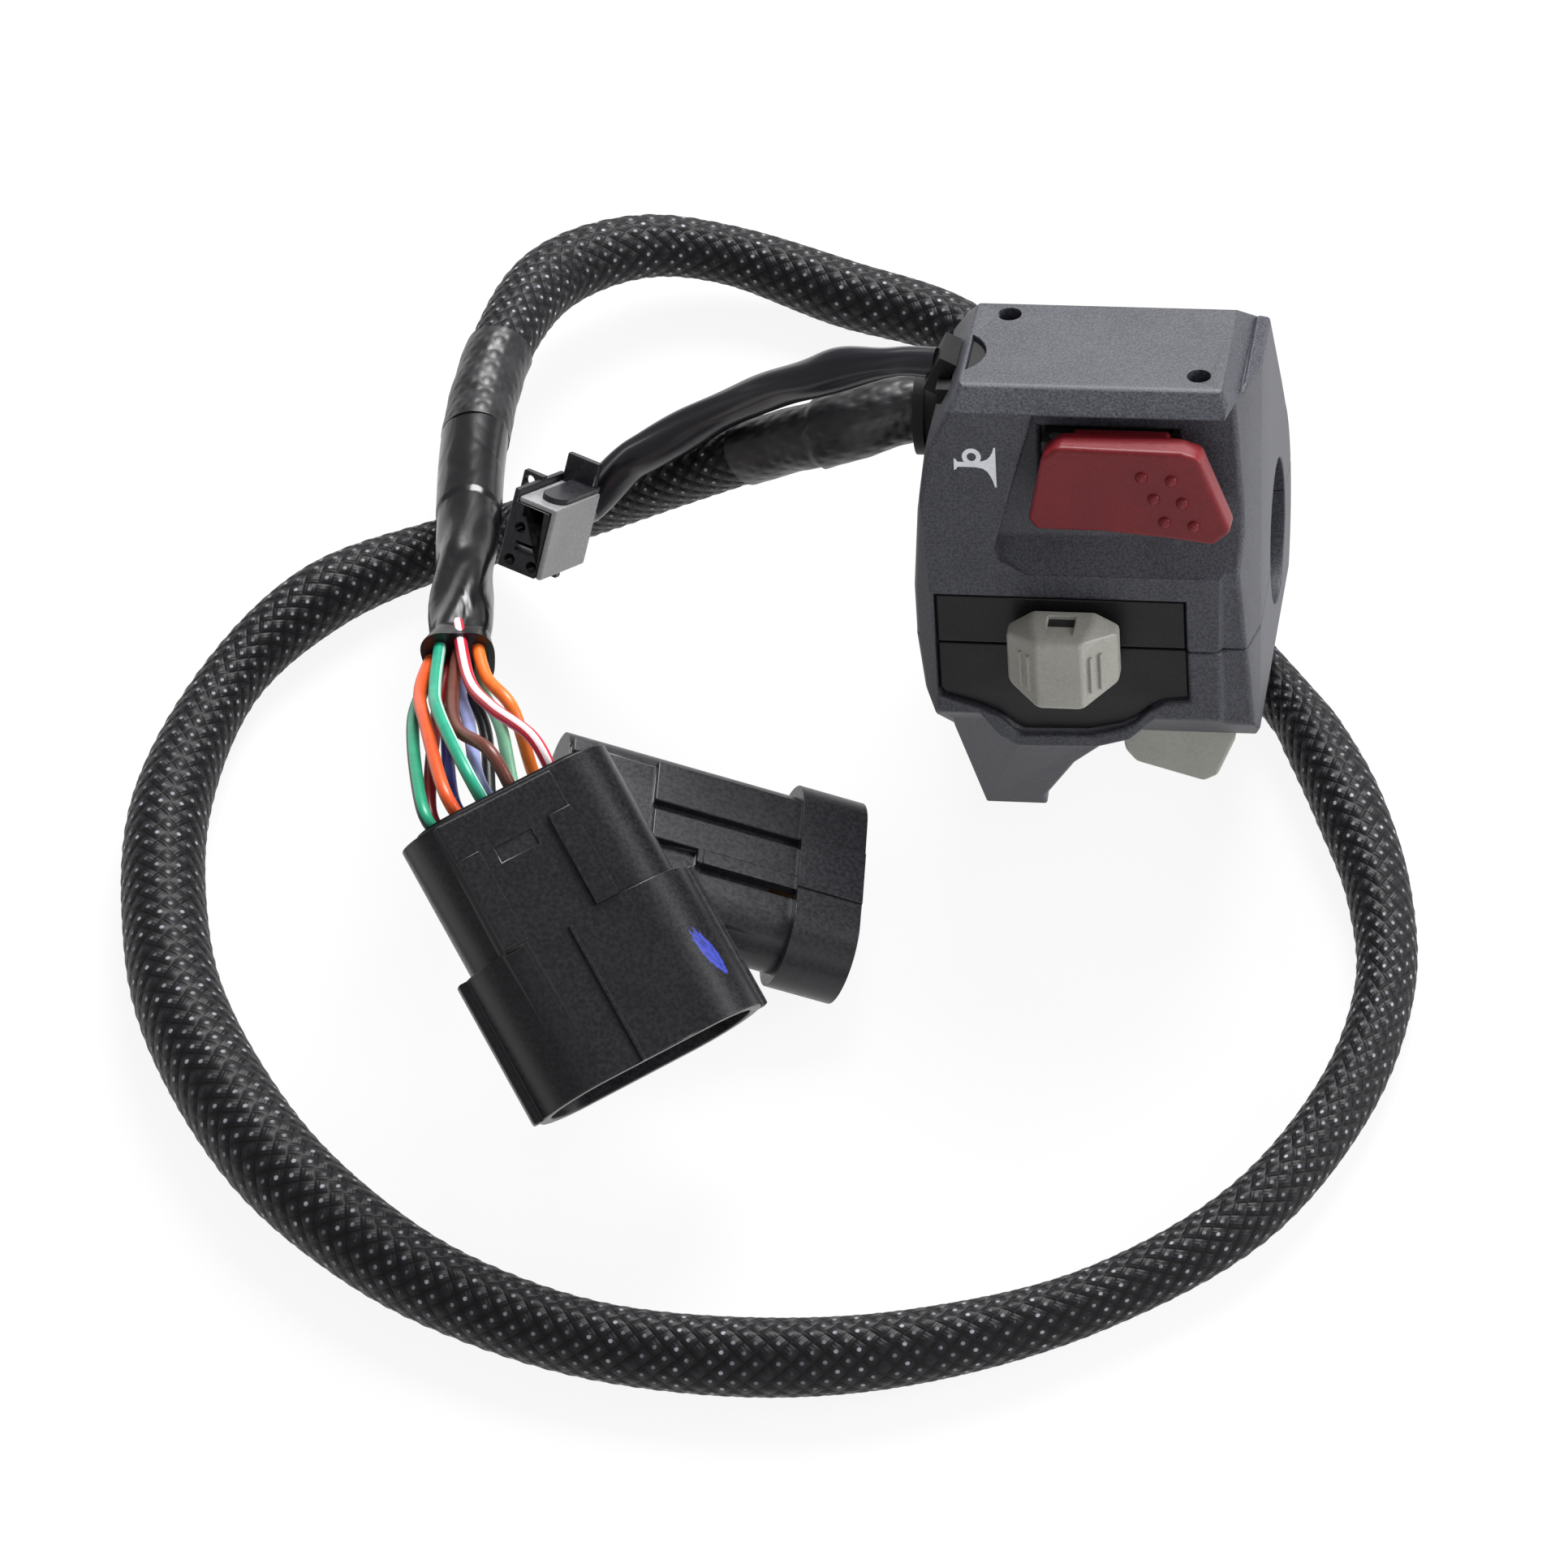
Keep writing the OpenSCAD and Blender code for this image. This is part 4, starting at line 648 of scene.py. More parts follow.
@dataclass(frozen=True)
class EdgeRounding:
    """How a moulded piece's sharp edges are rounded."""

    width_mm: float
    segments: int = 3
    sharper_than: float = 24.0
    shortest_mm: float = 0.6
    room_share: float = 0.3
    smooth_below: float = 38.0
    face_pull: int = 100

    def apply(self, piece: bpy.types.Object) -> None:
        """Rounds each edge by a bevel as far as its neighbours leave room, and evens the shading.

        Args:
            piece: The piece.
        """
        layer = piece.data.attributes.new("bevel_weight_edge", "FLOAT", "EDGE")
        layer.data.foreach_set("value", self.weights(piece.data))
        only_select(piece)
        rounding = piece.modifiers.new("edge rounding", "BEVEL")
        rounding.width = self.width_mm * MM
        rounding.segments = self.segments
        rounding.limit_method = "WEIGHT"
        rounding.use_clamp_overlap = False
        bpy.ops.object.modifier_apply(modifier=rounding.name)
        bpy.ops.object.shade_smooth_by_angle(angle=math.radians(self.smooth_below))
        shading = piece.modifiers.new("face shading", "WEIGHTED_NORMAL")
        shading.keep_sharp = True
        shading.weight = self.face_pull
        bpy.ops.object.modifier_apply(modifier=shading.name)

    def weights(self, mesh: bpy.types.Mesh) -> np.ndarray:
        """Gives each outward edge its share of the width, so that no rounding runs into the next.

        Args:
            mesh: The mesh.

        Returns:
            One weight for each edge, nought where it stays sharp.
        """
        points = np.array([v.co for v in mesh.vertices])
        number = {tuple(sorted(e.vertices)): e.index for e in mesh.edges}
        pairs = np.array([e.vertices for e in mesh.edges])
        lengths = np.linalg.norm(points[pairs[:, 0]] - points[pairs[:, 1]], axis=1)
        room = np.full(len(pairs), np.inf)
        sides: dict[int, list[tuple[Vector, Vector]]] = {}
        for face in mesh.polygons:
            ring = list(face.vertices)
            for edge in zip(ring, ring[1:] + ring[:1]):
                index = number[tuple(sorted(edge))]
                sides.setdefault(index, []).append((face.normal, Vector(points[edge[1]] - points[edge[0]])))
                room[index] = min(room[index], self.clearance(points, ring, edge))
        weights = np.zeros(len(pairs), dtype=np.float32)
        for index, found in sides.items():
            if len(found) != 2 or lengths[index] < self.shortest_mm * MM:
                continue
            (one, way), (other, _) = found
            sharp = one.dot(other) < math.cos(math.radians(self.sharper_than))
            if sharp and one.cross(other).dot(way) > 0:
                weights[index] = min(1.0, self.room_share * room[index] / (self.width_mm * MM))
        return weights

    @staticmethod
    def clearance(points: np.ndarray, ring: list[int], edge: tuple[int, int]) -> float:
        """Measures how far an edge is from the rest of one of its faces.

        Args:
            points: All points of the mesh.
            ring: Numbers of the face's points.
            edge: Numbers of the edge's points.

        Returns:
            The least distance.
        """
        first, last = points[edge[0]], points[edge[1]]
        way = last - first
        others = points[[v for v in ring if v not in edge]]
        share = np.clip((others - first) @ way / (way @ way), 0, 1)
        return float(np.linalg.norm(others - first - share[:, None] * way, axis=1).min())


MADE: dict[Finish, bpy.types.Material] = {}


def shared_material(finish: Finish) -> bpy.types.Material:
    """Gives the one material of a finish, made at its first use."""
    if finish not in MADE:
        MADE[finish] = finish.make()
    return MADE[finish]


def finish_piece(piece: bpy.types.Object, finish: Finish, body: Body, *nodes: str) -> None:
    """Gives a piece its finish and body, and hides the CAD nodes that it stands for.

    Args:
        piece: The piece.
        finish: What it is made of.
        body: The body that it rides on.
        *nodes: The CAD nodes that it replaces.
    """
    piece.data.materials.clear()
    piece.data.materials.append(shared_material(finish))
    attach(piece, body.value)
    if nodes:
        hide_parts(*nodes)
    LOG.info("%s: %d faces", piece.name, len(piece.data.polygons))


# How many points the curve has between two route points before it is evened
CURVE_STEPS = 24


def smooth_route(points: np.ndarray, step: float) -> np.ndarray:
    """Runs a smooth curve through route points.

    Args:
        points: Rows of X, Y, Z and radius in millimetres.
        step: Distance between the curve's points in millimetres.

    Returns:
        Evenly spaced rows of X, Y, Z and radius.
    """
    ends = np.vstack([2 * points[0] - points[1], points, 2 * points[-1] - points[-2]])
    fine = []
    for i in range(1, len(ends) - 2):
        a, b, c, d = ends[i - 1 : i + 3]
        for t in np.linspace(0, 1, CURVE_STEPS, endpoint=False):
            bend = (2 * a - 5 * b + 4 * c - d) * t**2
            twist = (3 * b - a - 3 * c + d) * t**3
            fine.append(0.5 * (2 * b + (c - a) * t + bend + twist))
    fine.append(points[-1])
    curve = np.array(fine)
    run = np.concatenate([[0], np.cumsum(np.linalg.norm(np.diff(curve[:, :3], axis=0), axis=1))])
    even = np.linspace(0, run[-1], max(4, int(run[-1] / step)))
    return np.stack([np.interp(even, run, curve[:, k]) for k in range(4)], axis=1)


@dataclass(frozen=True)
class SkinRelief:
    """How skins stand out: heights in mm, waves in radians per mm, places as shares of length or turn."""

    braid_mm: float = 0.16
    braid_middle: float = 0.75
    braid_under_tape_mm: float = 0.04
    tape_mm: float = 0.4
    tape_slant: float = 0.02
    lump_mm: float = 0.12
    lump_waves: Span = (0.55, 0.21)
    film_mm: float = 0.25
    film_lap: float = 0.36
    film_slant: float = 0.03
    flute_mm: float = 0.12
    flute_phase: float = 0.4
    slack_from: float = 0.4
    slack_over: float = 0.25
    pleat_mm: float = 0.38
    pleat_waves: Span = (0.3, 0.16)
    second_pleat: float = 0.6
    second_phase: float = 1.3
    fold_mm: float = 0.45
    fold_at: float = 0.3
    fold_width: float = 0.045
    fold_wander: float = 0.06
    fold_wave: float = 0.08
    fold_full_at: float = 0.125
    dent_mm: float = 0.1
    dent_wave: float = 0.4

    def heights(self, skin: Skin, run: np.ndarray, turn: np.ndarray, laps: tuple[float, ...]) -> np.ndarray:
        """Gives a skin's height over its cord's radius.

        Args:
            skin: The skin.
            run: Millimetres along the cord, as a column.
            turn: Shares of the way round, as a row.
            laps: Where each layer of tape ends, as shares of the length.

        Returns:
            Heights in millimetres.
        """
        angle = 2 * np.pi * turn
        share = run / run[-1]
        flat = np.zeros((run.shape[0], turn.shape[1]))
        braid = SLEEVE_WEAVE.relief(run / SLEEVE_WEAVE.pitch_mm, turn) - self.braid_middle
        if skin is Skin.BRAID:
            return flat + self.braid_mm * braid
        if skin is Skin.TAPE:
            lap = sum(self.tape_mm * (share + self.tape_slant * np.sin(angle) < stop) for stop in laps)
            first, second = (run * wave for wave in self.lump_waves)
            lump = self.lump_mm * np.sin(first + 2 * angle) * np.sin(second - angle)
            return flat + lap + lump + self.braid_under_tape_mm * braid
        if skin is Skin.FILM:
            slack = np.clip((share - self.slack_from) / self.slack_over, 0, 1)
            first, second = (run * wave for wave in self.pleat_waves)
            pleat = np.sin(first + 4 * angle)
            pleat = pleat + self.second_pleat * np.sin(second - 3 * angle + self.second_phase)
            lap = self.film_mm * (share + self.film_slant * np.sin(angle) < self.film_lap)
            flute = self.flute_mm * np.sin(3 * angle + self.flute_phase)
            return flat + lap + flute + slack * self.pleat_mm * pleat
        if skin is Skin.FOLDED:
            middle = self.fold_at + self.fold_wander * np.sin(run * self.fold_wave)
            fold = np.exp(-(((turn - middle) / self.fold_width) ** 2))
            deep = self.fold_mm * np.clip(share / self.fold_full_at, 0, 1)
            return flat - deep * fold + self.dent_mm * np.sin(run * self.dent_wave + 2 * angle)
        return flat


@dataclass
class CordTube:
    """A cord swept along a route, with the relief of its skin in the mesh."""

    name: str
    route: np.ndarray
    skin: Skin = Skin.PLAIN
    sides: int = 24
    step_mm: float = 1.5
    laps: tuple[float, ...] = ()
    skirt_mm: float = 0.0
    skirt_flare: float = 0.35
    table_gap_mm: float = 0.02
    smooth_below: float = 60.0
    shape: SkinRelief = SkinRelief()

    def build(self) -> tuple[bpy.types.Object, list[Point], float]:
        """Sweeps the cord as one closed mesh with a UV map, whose skin hangs over the end by the skirt.

        Returns:
            The piece, its centreline in metres and its length in metres.
        """
        line = smooth_route(self.route, self.step_mm)
        own = len(line)
        spare = np.arange(1, int(self.skirt_mm / self.step_mm) + 1)[:, None]
        onward = np.append((line[-1] - line[-2])[:3], self.skirt_flare * self.step_mm)
        line = np.vstack([line, line[-1] + spare * onward])
        centre, radius = line[:, :3], line[:, 3]
        heading = np.gradient(centre, axis=0)
        heading /= np.linalg.norm(heading, axis=1)[:, None]
        side = np.cross(heading, [0.0, 0.0, 1.0])
        side /= np.linalg.norm(side, axis=1)[:, None]
        up = np.cross(side, heading)
        run = self.step_mm * np.arange(len(centre))
        turn = np.arange(self.sides) / self.sides
        angle = 2 * np.pi * turn
        size = radius[:, None] + self.shape.heights(self.skin, run[:, None], turn[None, :], self.laps)
        points = centre[:, None, :] + size[:, :, None] * (
            np.cos(angle)[None, :, None] * side[:, None, :] + np.sin(angle)[None, :, None] * up[:, None, :]
        )
        points[:, :, 2] = np.maximum(points[:, :, 2], TABLE_Z + self.table_gap_mm)
        piece = self.tube(points * MM, run)
        centre = centre[:own]
        path = [tuple(p) for p in (centre * MM).tolist()]
        return piece, path, float(np.linalg.norm(np.diff(centre, axis=0), axis=1).sum()) * MM

    def tube(self, points: np.ndarray, run: np.ndarray) -> bpy.types.Object:
        """Makes the mesh of the swept rings.

        Args:
            points: Rings of points in metres.
            run: Millimetres along the cord of each ring.

        Returns:
            The closed tube.
        """
        rows, n = points.shape[:2]
        faces = [
            (i * n + k, (i + 1) * n + k, (i + 1) * n + (k + 1) % n, i * n + (k + 1) % n)
            for i in range(rows - 1) for k in range(n)
        ]
        faces.append(tuple(range(n)))
        faces.append(tuple(reversed(range((rows - 1) * n, rows * n))))
        mesh = bpy.data.meshes.new(self.name)
        mesh.from_pydata(points.reshape(-1, 3).tolist(), [], faces)
        layer = mesh.uv_layers.new(name="cord")
        spots = [
            (run[i + step], (k + turn) / n)
            for i in range(rows - 1) for k in range(n) for step, turn in ((0, 0), (1, 0), (1, 1), (0, 1))
        ]
        for row in (0, rows - 1):
            spots.extend((run[row], 0.5) for _ in range(n))
        layer.data.foreach_set("uv", np.array(spots, dtype=np.float32).ravel())
        piece = bpy.data.objects.new(self.name, mesh)
        bpy.context.scene.collection.objects.link(piece)
        only_select(piece)
        bpy.ops.object.mode_set(mode="EDIT")
        bpy.ops.mesh.select_all(action="SELECT")
        bpy.ops.mesh.normals_make_consistent(inside=False)
        bpy.ops.object.mode_set(mode="OBJECT")
        bpy.ops.object.shade_smooth_by_angle(angle=math.radians(self.smooth_below))
        return piece


@dataclass
class Connectors:
    """The connectors at the harness ends, with the pieces that each takes along."""

    edge: EdgeRounding = EdgeRounding(0.5)
    fine_edge: EdgeRounding = EdgeRounding(0.25, room_share=0.2)
    small_edge: EdgeRounding = EdgeRounding(0.3, segments=2, shortest_mm=0.4)
    main_pieces: list[bpy.types.Object] = field(default_factory=list)
    second_pieces: list[bpy.types.Object] = field(default_factory=list)
    lead_pieces: list[bpy.types.Object] = field(default_factory=list)

    def build(self) -> None:
        """Dresses the connector bodies and lists the CAD nodes inside them."""
        for node, finish, edge, pieces in (
            ("main_connector", MAIN_PBT, self.edge, self.main_pieces),
            ("second_connector", CONNECTOR_PBT, self.fine_edge, self.second_pieces),
            ("lead_connector", CONNECTOR_PBT, self.small_edge, self.lead_pieces),
            ("lead_latch", CONNECTOR_PBT, self.small_edge, self.lead_pieces),
            ("lead_cover", COVER_PP, self.small_edge, self.lead_pieces),
        ):
            piece = copy_node(node, f"{node}_body")
            edge.apply(piece)
            finish_piece(piece, finish, Body.CLUSTER, node)
            pieces.append(piece)
        for names, pieces in (
            (("main_lock", "main_pins", "main_seal"), self.main_pieces),
            (("second_lock", "second_pins", "second_seal"), self.second_pieces),
            (("lead_pins",), self.lead_pieces),
        ):
            pieces.extend(frame["nodes"][name] for name in names)
        frame["nodes"]["lead_pins"].data.materials[0] = shared_material(TINNED)


@dataclass
class Harness:
    """The sleeved harness with its tapes, the small lead and the wires at the connectors."""

    # Numbers of the route points where the first tape, the sleeve and the second tape end
    exit_tape_end: int = 4
    sleeve_end: int = 36
    end_tape_end: int = 37
    # Where each layer of tape ends, as shares of its length: past one, it covers all of it
    exit_laps: tuple[float, ...] = (0.62, 2.0)
    end_laps: tuple[float, ...] = (2.0,)
    exit_mm: Point = (-25.5, 0.1, 25.7)
    diameter_mm: float = 11.0
    skirt_mm: float = 4.0
    sleeve_sides: int = 60
    sleeve_rings_per_pitch: int = 6
    lead_sides: int = 36
    wire_sides: int = 16
    fine_step_mm: float = 1.0

    def build(self, connectors: Connectors) -> None:
        """Builds every cord.

        Args:
            connectors: The connectors that the wires and the lead end in. Not used.
        """
        self.main_run()
        route = np.array(LEAD, dtype=float)
        lead = CordTube("lead_tube_skin", route, Skin.FOLDED, self.lead_sides, self.fine_step_mm)
        piece, path, length = lead.build()
        finish_piece(piece, LEAD_PVC, Body.CLUSTER, "lead_tube")
        for name, points in WIRES.items():
            route = np.array([(*p, WIRE_R) for p in points], dtype=float)
            wire = CordTube(f"{name}_skin", route, Skin.PLAIN, self.wire_sides, self.fine_step_mm)
            piece, path, length = wire.build()
            finish_piece(piece, WIRE_SKIN[name], Body.CLUSTER, name)

    def main_run(self) -> None:
        """Builds the taped and sleeved run as one cord from the case to the wires.
        """
        route = np.array(HARNESS, dtype=float)
        ring_gap = SLEEVE_WEAVE.pitch_mm / self.sleeve_rings_per_pitch
        parts = (
            ("exit_tape", 0, self.exit_tape_end, VINYL_TAPE, Skin.TAPE, self.exit_laps),
            ("harness_sleeve", self.exit_tape_end, self.sleeve_end, SLEEVE_BRAID, Skin.BRAID, ()),
            ("end_tape", self.sleeve_end, self.end_tape_end, VINYL_TAPE, Skin.TAPE, self.end_laps),
            ("bundle_wrap", self.end_tape_end, len(route) - 1, BUNDLE_FILM, Skin.FILM, ()),
        )
        line = smooth_route(route, self.fine_step_mm)
        pieces, paths, total = [], [], 0.0
        for name, first, last, finish, skin, laps in parts:
            stretch = self.stretch(line, route, first, last)
            spare = self.skirt_mm if skin is Skin.FILM else 0.0
            tube = CordTube(f"{name}_skin", stretch, skin, self.sleeve_sides, ring_gap, laps, spare)
            piece, path, length = tube.build()
            piece.data.materials.append(shared_material(finish))
            pieces.append(piece)
            paths.extend(path if not paths else path[1:])
            total += length
        only_select(pieces[0])
        for piece in pieces:
            piece.select_set(True)
        bpy.ops.object.join()
        whole = bpy.context.active_object
        whole.name = "harness_run"
        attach(whole, Body.CLUSTER.value)
        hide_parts(*(part[0] for part in parts))
        LOG.info("%s: %d faces, %.3f m", whole.name, len(whole.data.polygons), total)

    @staticmethod
    def stretch(line: np.ndarray, route: np.ndarray, first: int, last: int) -> np.ndarray:
        """Cuts the part of the smooth line between two route points.

        Args:
            line: The smooth line.
            route: The route points.
            first: Number of the first route point.
            last: Number of the last route point.

        Returns:
            The rows of the smooth line between them.
        """
        found = [int(np.argmin(np.linalg.norm(line[:, :3] - route[i, :3], axis=1))) for i in (first, last)]
        cut = line[found[0] : found[1] + 1].copy()
        cut[0], cut[-1] = route[first], route[last]
        return cut


@dataclass
class SwitchCase:
    """The split case with its bezels."""

    upper_edge: EdgeRounding = EdgeRounding(1.0)
    lower_edge: EdgeRounding = EdgeRounding(0.8)
    bezel_edge: EdgeRounding = EdgeRounding(0.3, segments=2)

    def build(self) -> None:
        """Dresses the case halves and the bezels."""
        for node, edge in (("upper_case", self.upper_edge), ("lower_case", self.lower_edge)):
            piece = copy_node(node, f"{node}_shell")
            edge.apply(piece)
            finish_piece(piece, CASE_ABS, Body.CLUSTER, node)
        for node in ("upper_bezel", "lower_bezel"):
            piece = copy_node(node, f"{node}_plate")
            self.bezel_edge.apply(piece)
            finish_piece(piece, BEZEL_ABS, Body.CLUSTER, node)


@dataclass
class HornSign:
    """A plain bugle sign in ink beside the horn button, in millimetres on the upright case's front face."""

    mouth_x: float = -18.2
    tube_z: float = 31.0
    thickness: float = 0.08
    sink: float = 0.03
    face_y: float = -34.0
    face_rise: tuple[float, float] = (1.8, 39.6)
    loop_at: tuple[float, float] = (2.65, 1.3)
    loop_r: tuple[float, float] = (1.4, 0.7)
    loop_sides: int = 28
    loop_proud: float = 0.02
    # Shaped columns wait this far aside, so that the search for the next column misses them
    aside: float = 100.0
    same_place: float = 1e-4
    # Distance from the mouth, half width, and how far the middle drops
    outline: tuple[Point, ...] = (
        (0, 0.95, 0), (0.3, 0.85, 0), (0.55, 0.42, 0), (1.6, 0.4, 0), (3.2, 0.42, 0), (4.2, 0.6, 0),
        (4.9, 1.0, 0.1), (5.4, 1.7, 0.25), (5.75, 2.5, 0.35), (5.95, 3.3, 0.4), (6.2, 3.35, 0.4),
    )

    def build(self) -> None:
        """Makes the bugle and its loop, and prints them on the case."""
        bugle, loop = self.bugle(), self.loop()
        only_select(bugle)
        loop.select_set(True)
        bpy.ops.object.join()
        tilt = self.face_rise[0] / self.face_rise[1]
        across, tall = leaned(1, 0, 0), leaned(0, tilt, 1).normalized()
        out = across.cross(tall)
        mouth = leaned(self.mouth_x, self.face_y + tilt * self.tube_z, self.tube_z)
        corner = (mouth - out * self.sink) * MM
        bugle.matrix_world = Matrix.Translation(corner) @ Matrix((across, tall, out)).transposed().to_4x4()
        only_select(bugle)
        bpy.ops.object.transform_apply(location=True, rotation=True, scale=True)
        finish_piece(bugle, WHITE_INK, Body.CLUSTER)

    def bugle(self) -> bpy.types.Object:
        """Shapes a strip into the tube with its mouthpiece and bell.

        Returns:
            The strip, flat on the floor of its own axes.
        """
        columns = len(self.outline) - 1
        bpy.ops.object.select_all(action="DESELECT")
        bpy.ops.mesh.primitive_grid_add(x_subdivisions=columns, y_subdivisions=1, size=2 * MM)
        strip = bpy.context.active_object
        strip.name = "horn_sign"
        for i, (run, half, drop) in enumerate(self.outline):
            was = (2 * i / columns - 1) * MM
            bpy.ops.object.mode_set(mode="EDIT")
            bpy.ops.mesh.select_mode(type="VERT")
            bpy.ops.mesh.select_all(action="DESELECT")
            bpy.ops.object.mode_set(mode="OBJECT")
            for vertex in strip.data.vertices:
                vertex.select = abs(vertex.co.x - was) < self.same_place * MM
            bpy.ops.object.mode_set(mode="EDIT")
            bpy.ops.transform.resize(value=(1, half, 1), center_override=(was, 0, 0))
            bpy.ops.transform.translate(value=((self.aside + run) * MM - was, -drop * MM, 0))
            bpy.ops.object.mode_set(mode="OBJECT")
        self.thicken(strip, self.thickness)
        strip.data.transform(Matrix.Translation((-self.aside * MM, 0, 0)))
        return strip

    def loop(self) -> bpy.types.Object:
        """Cuts the ring of the tube's loop.

        Returns:
            The ring, flat on the floor of its own axes.
        """
        bpy.ops.object.select_all(action="DESELECT")
        place = (self.loop_at[0] * MM, self.loop_at[1] * MM, 0)
        bpy.ops.mesh.primitive_circle_add(
            vertices=self.loop_sides, radius=self.loop_r[0] * MM, fill_type="NGON", location=place)
        ring = bpy.context.active_object
        bpy.ops.object.transform_apply(location=True, rotation=True, scale=True)
        bpy.ops.object.mode_set(mode="EDIT")
        bpy.ops.mesh.select_mode(type="FACE")
        bpy.ops.mesh.select_all(action="SELECT")
        bpy.ops.mesh.inset(thickness=(self.loop_r[0] - self.loop_r[1]) * MM)
        bpy.ops.mesh.delete(type="FACE")
        bpy.ops.object.mode_set(mode="OBJECT")
        self.thicken(ring, self.thickness + self.loop_proud)
        return ring

    @staticmethod
    def thicken(piece: bpy.types.Object, thickness: float) -> None:
        """Extrudes a flat piece to its thickness and turns its faces outwards.

        Args:
            piece: The flat piece.
            thickness: Its thickness in millimetres.
        """
        only_select(piece)
        bpy.ops.object.mode_set(mode="EDIT")
        bpy.ops.mesh.select_all(action="SELECT")
        bpy.ops.mesh.extrude_region_move(TRANSFORM_OT_translate={"value": (0, 0, thickness * MM)})
        bpy.ops.mesh.select_all(action="SELECT")
        bpy.ops.mesh.normals_make_consistent(inside=False)
        bpy.ops.object.mode_set(mode="OBJECT")


@dataclass
class Controls:
    """The horn button, the turn knob and the select trigger."""

    horn_edge: EdgeRounding = EdgeRounding(0.8, shortest_mm=1.0)
    knob_edge: EdgeRounding = EdgeRounding(0.6)
    trigger_edge: EdgeRounding = EdgeRounding(0.8)
    # Middles of the bumps as X and Z on the upright case, before the button's splay about its hinge
    bump_spots: tuple[Span, ...] = (
        (10.3, 32.3), (14.7, 32.0), (12.0, 28.7), (16.2, 28.3), (13.5, 24.8), (17.8, 24.4),
    )
    bump_y: float = -35.95
    bump_r: float = 1.0
    bump_sides: int = 24
    hinge_mm: tuple[float, float] = (-3.4, -29.4)
    splay: float = 3.0
    # Middle and size of the thin black sheet of painted shade at the back of the knob's slot
    shade_sheet_mm: Point = (-2.6, -37.9, 7.13)
    shade_sheet_size: Point = (3.94, 1.94, 0.08)

    def build(self) -> None:
        """Dresses the three controls."""
        for node, edge, finish, body in (
            ("horn_button", self.horn_edge, HORN_ABS, Body.HORN),
            ("turn_knob", self.knob_edge, KNOB_ABS, Body.KNOB),
            ("select_trigger", self.trigger_edge, TRIGGER_ABS, Body.TRIGGER),
        ):
            piece = copy_node(node, f"{node}_cap")
            edge.apply(piece)
            finish_piece(piece, finish, body, node)
        self.bumps()
        self.slot_shade_sheet()

    def bumps(self) -> None:
        """Models one grip bump and copies it over the horn button's free end."""
        bpy.ops.object.select_all(action="DESELECT")
        bpy.ops.mesh.primitive_uv_sphere_add(
            segments=self.bump_sides, ring_count=self.bump_sides // 2, radius=self.bump_r * MM)
        first = bpy.context.active_object
        first.name = "horn_bumps"
        bpy.ops.object.shade_smooth()
        domes = [first]
        for _ in self.bump_spots[1:]:
            dome = first.copy()
            dome.data = first.data.copy()
            bpy.context.scene.collection.objects.link(dome)
            domes.append(dome)
        splay = Matrix.Rotation(math.radians(-self.splay), 3, "Z")
        hinge = Vector((*self.hinge_mm, 0))
        only_select(first)
        for dome, (x, z) in zip(domes, self.bump_spots):
            place = hinge + splay @ (Vector((x, self.bump_y, z)) - hinge)
            dome.location = leaned(*place) * MM
            dome.select_set(True)
        bpy.ops.object.join()
        bpy.ops.object.transform_apply(location=True, rotation=True, scale=True)
        finish_piece(first, HORN_ABS, Body.HORN)

    def slot_shade_sheet(self) -> None:
        """Lays a thin black sheet at the back of the knob's slot: painted shade that darkens the slot."""
        bpy.ops.object.select_all(action="DESELECT")
        bpy.ops.mesh.primitive_cube_add(
            size=MM, location=leaned(*self.shade_sheet_mm) * MM, rotation=(-LEAN, 0, 0), scale=self.shade_sheet_size)
        shade_sheet = bpy.context.active_object
        shade_sheet.name = "knob_slot_shade"
        bpy.ops.object.transform_apply(location=True, rotation=True, scale=True)
        # The sheet's black nylon finish darkens the slot as painted shade
        finish_piece(shade_sheet, INSULATOR, Body.KNOB)


@dataclass(frozen=True)
class Lamp:
    """A square lamp that faces the object: its place and width in metres, its power in watts."""

    name: str
    place: Point
    width: float
    power: float


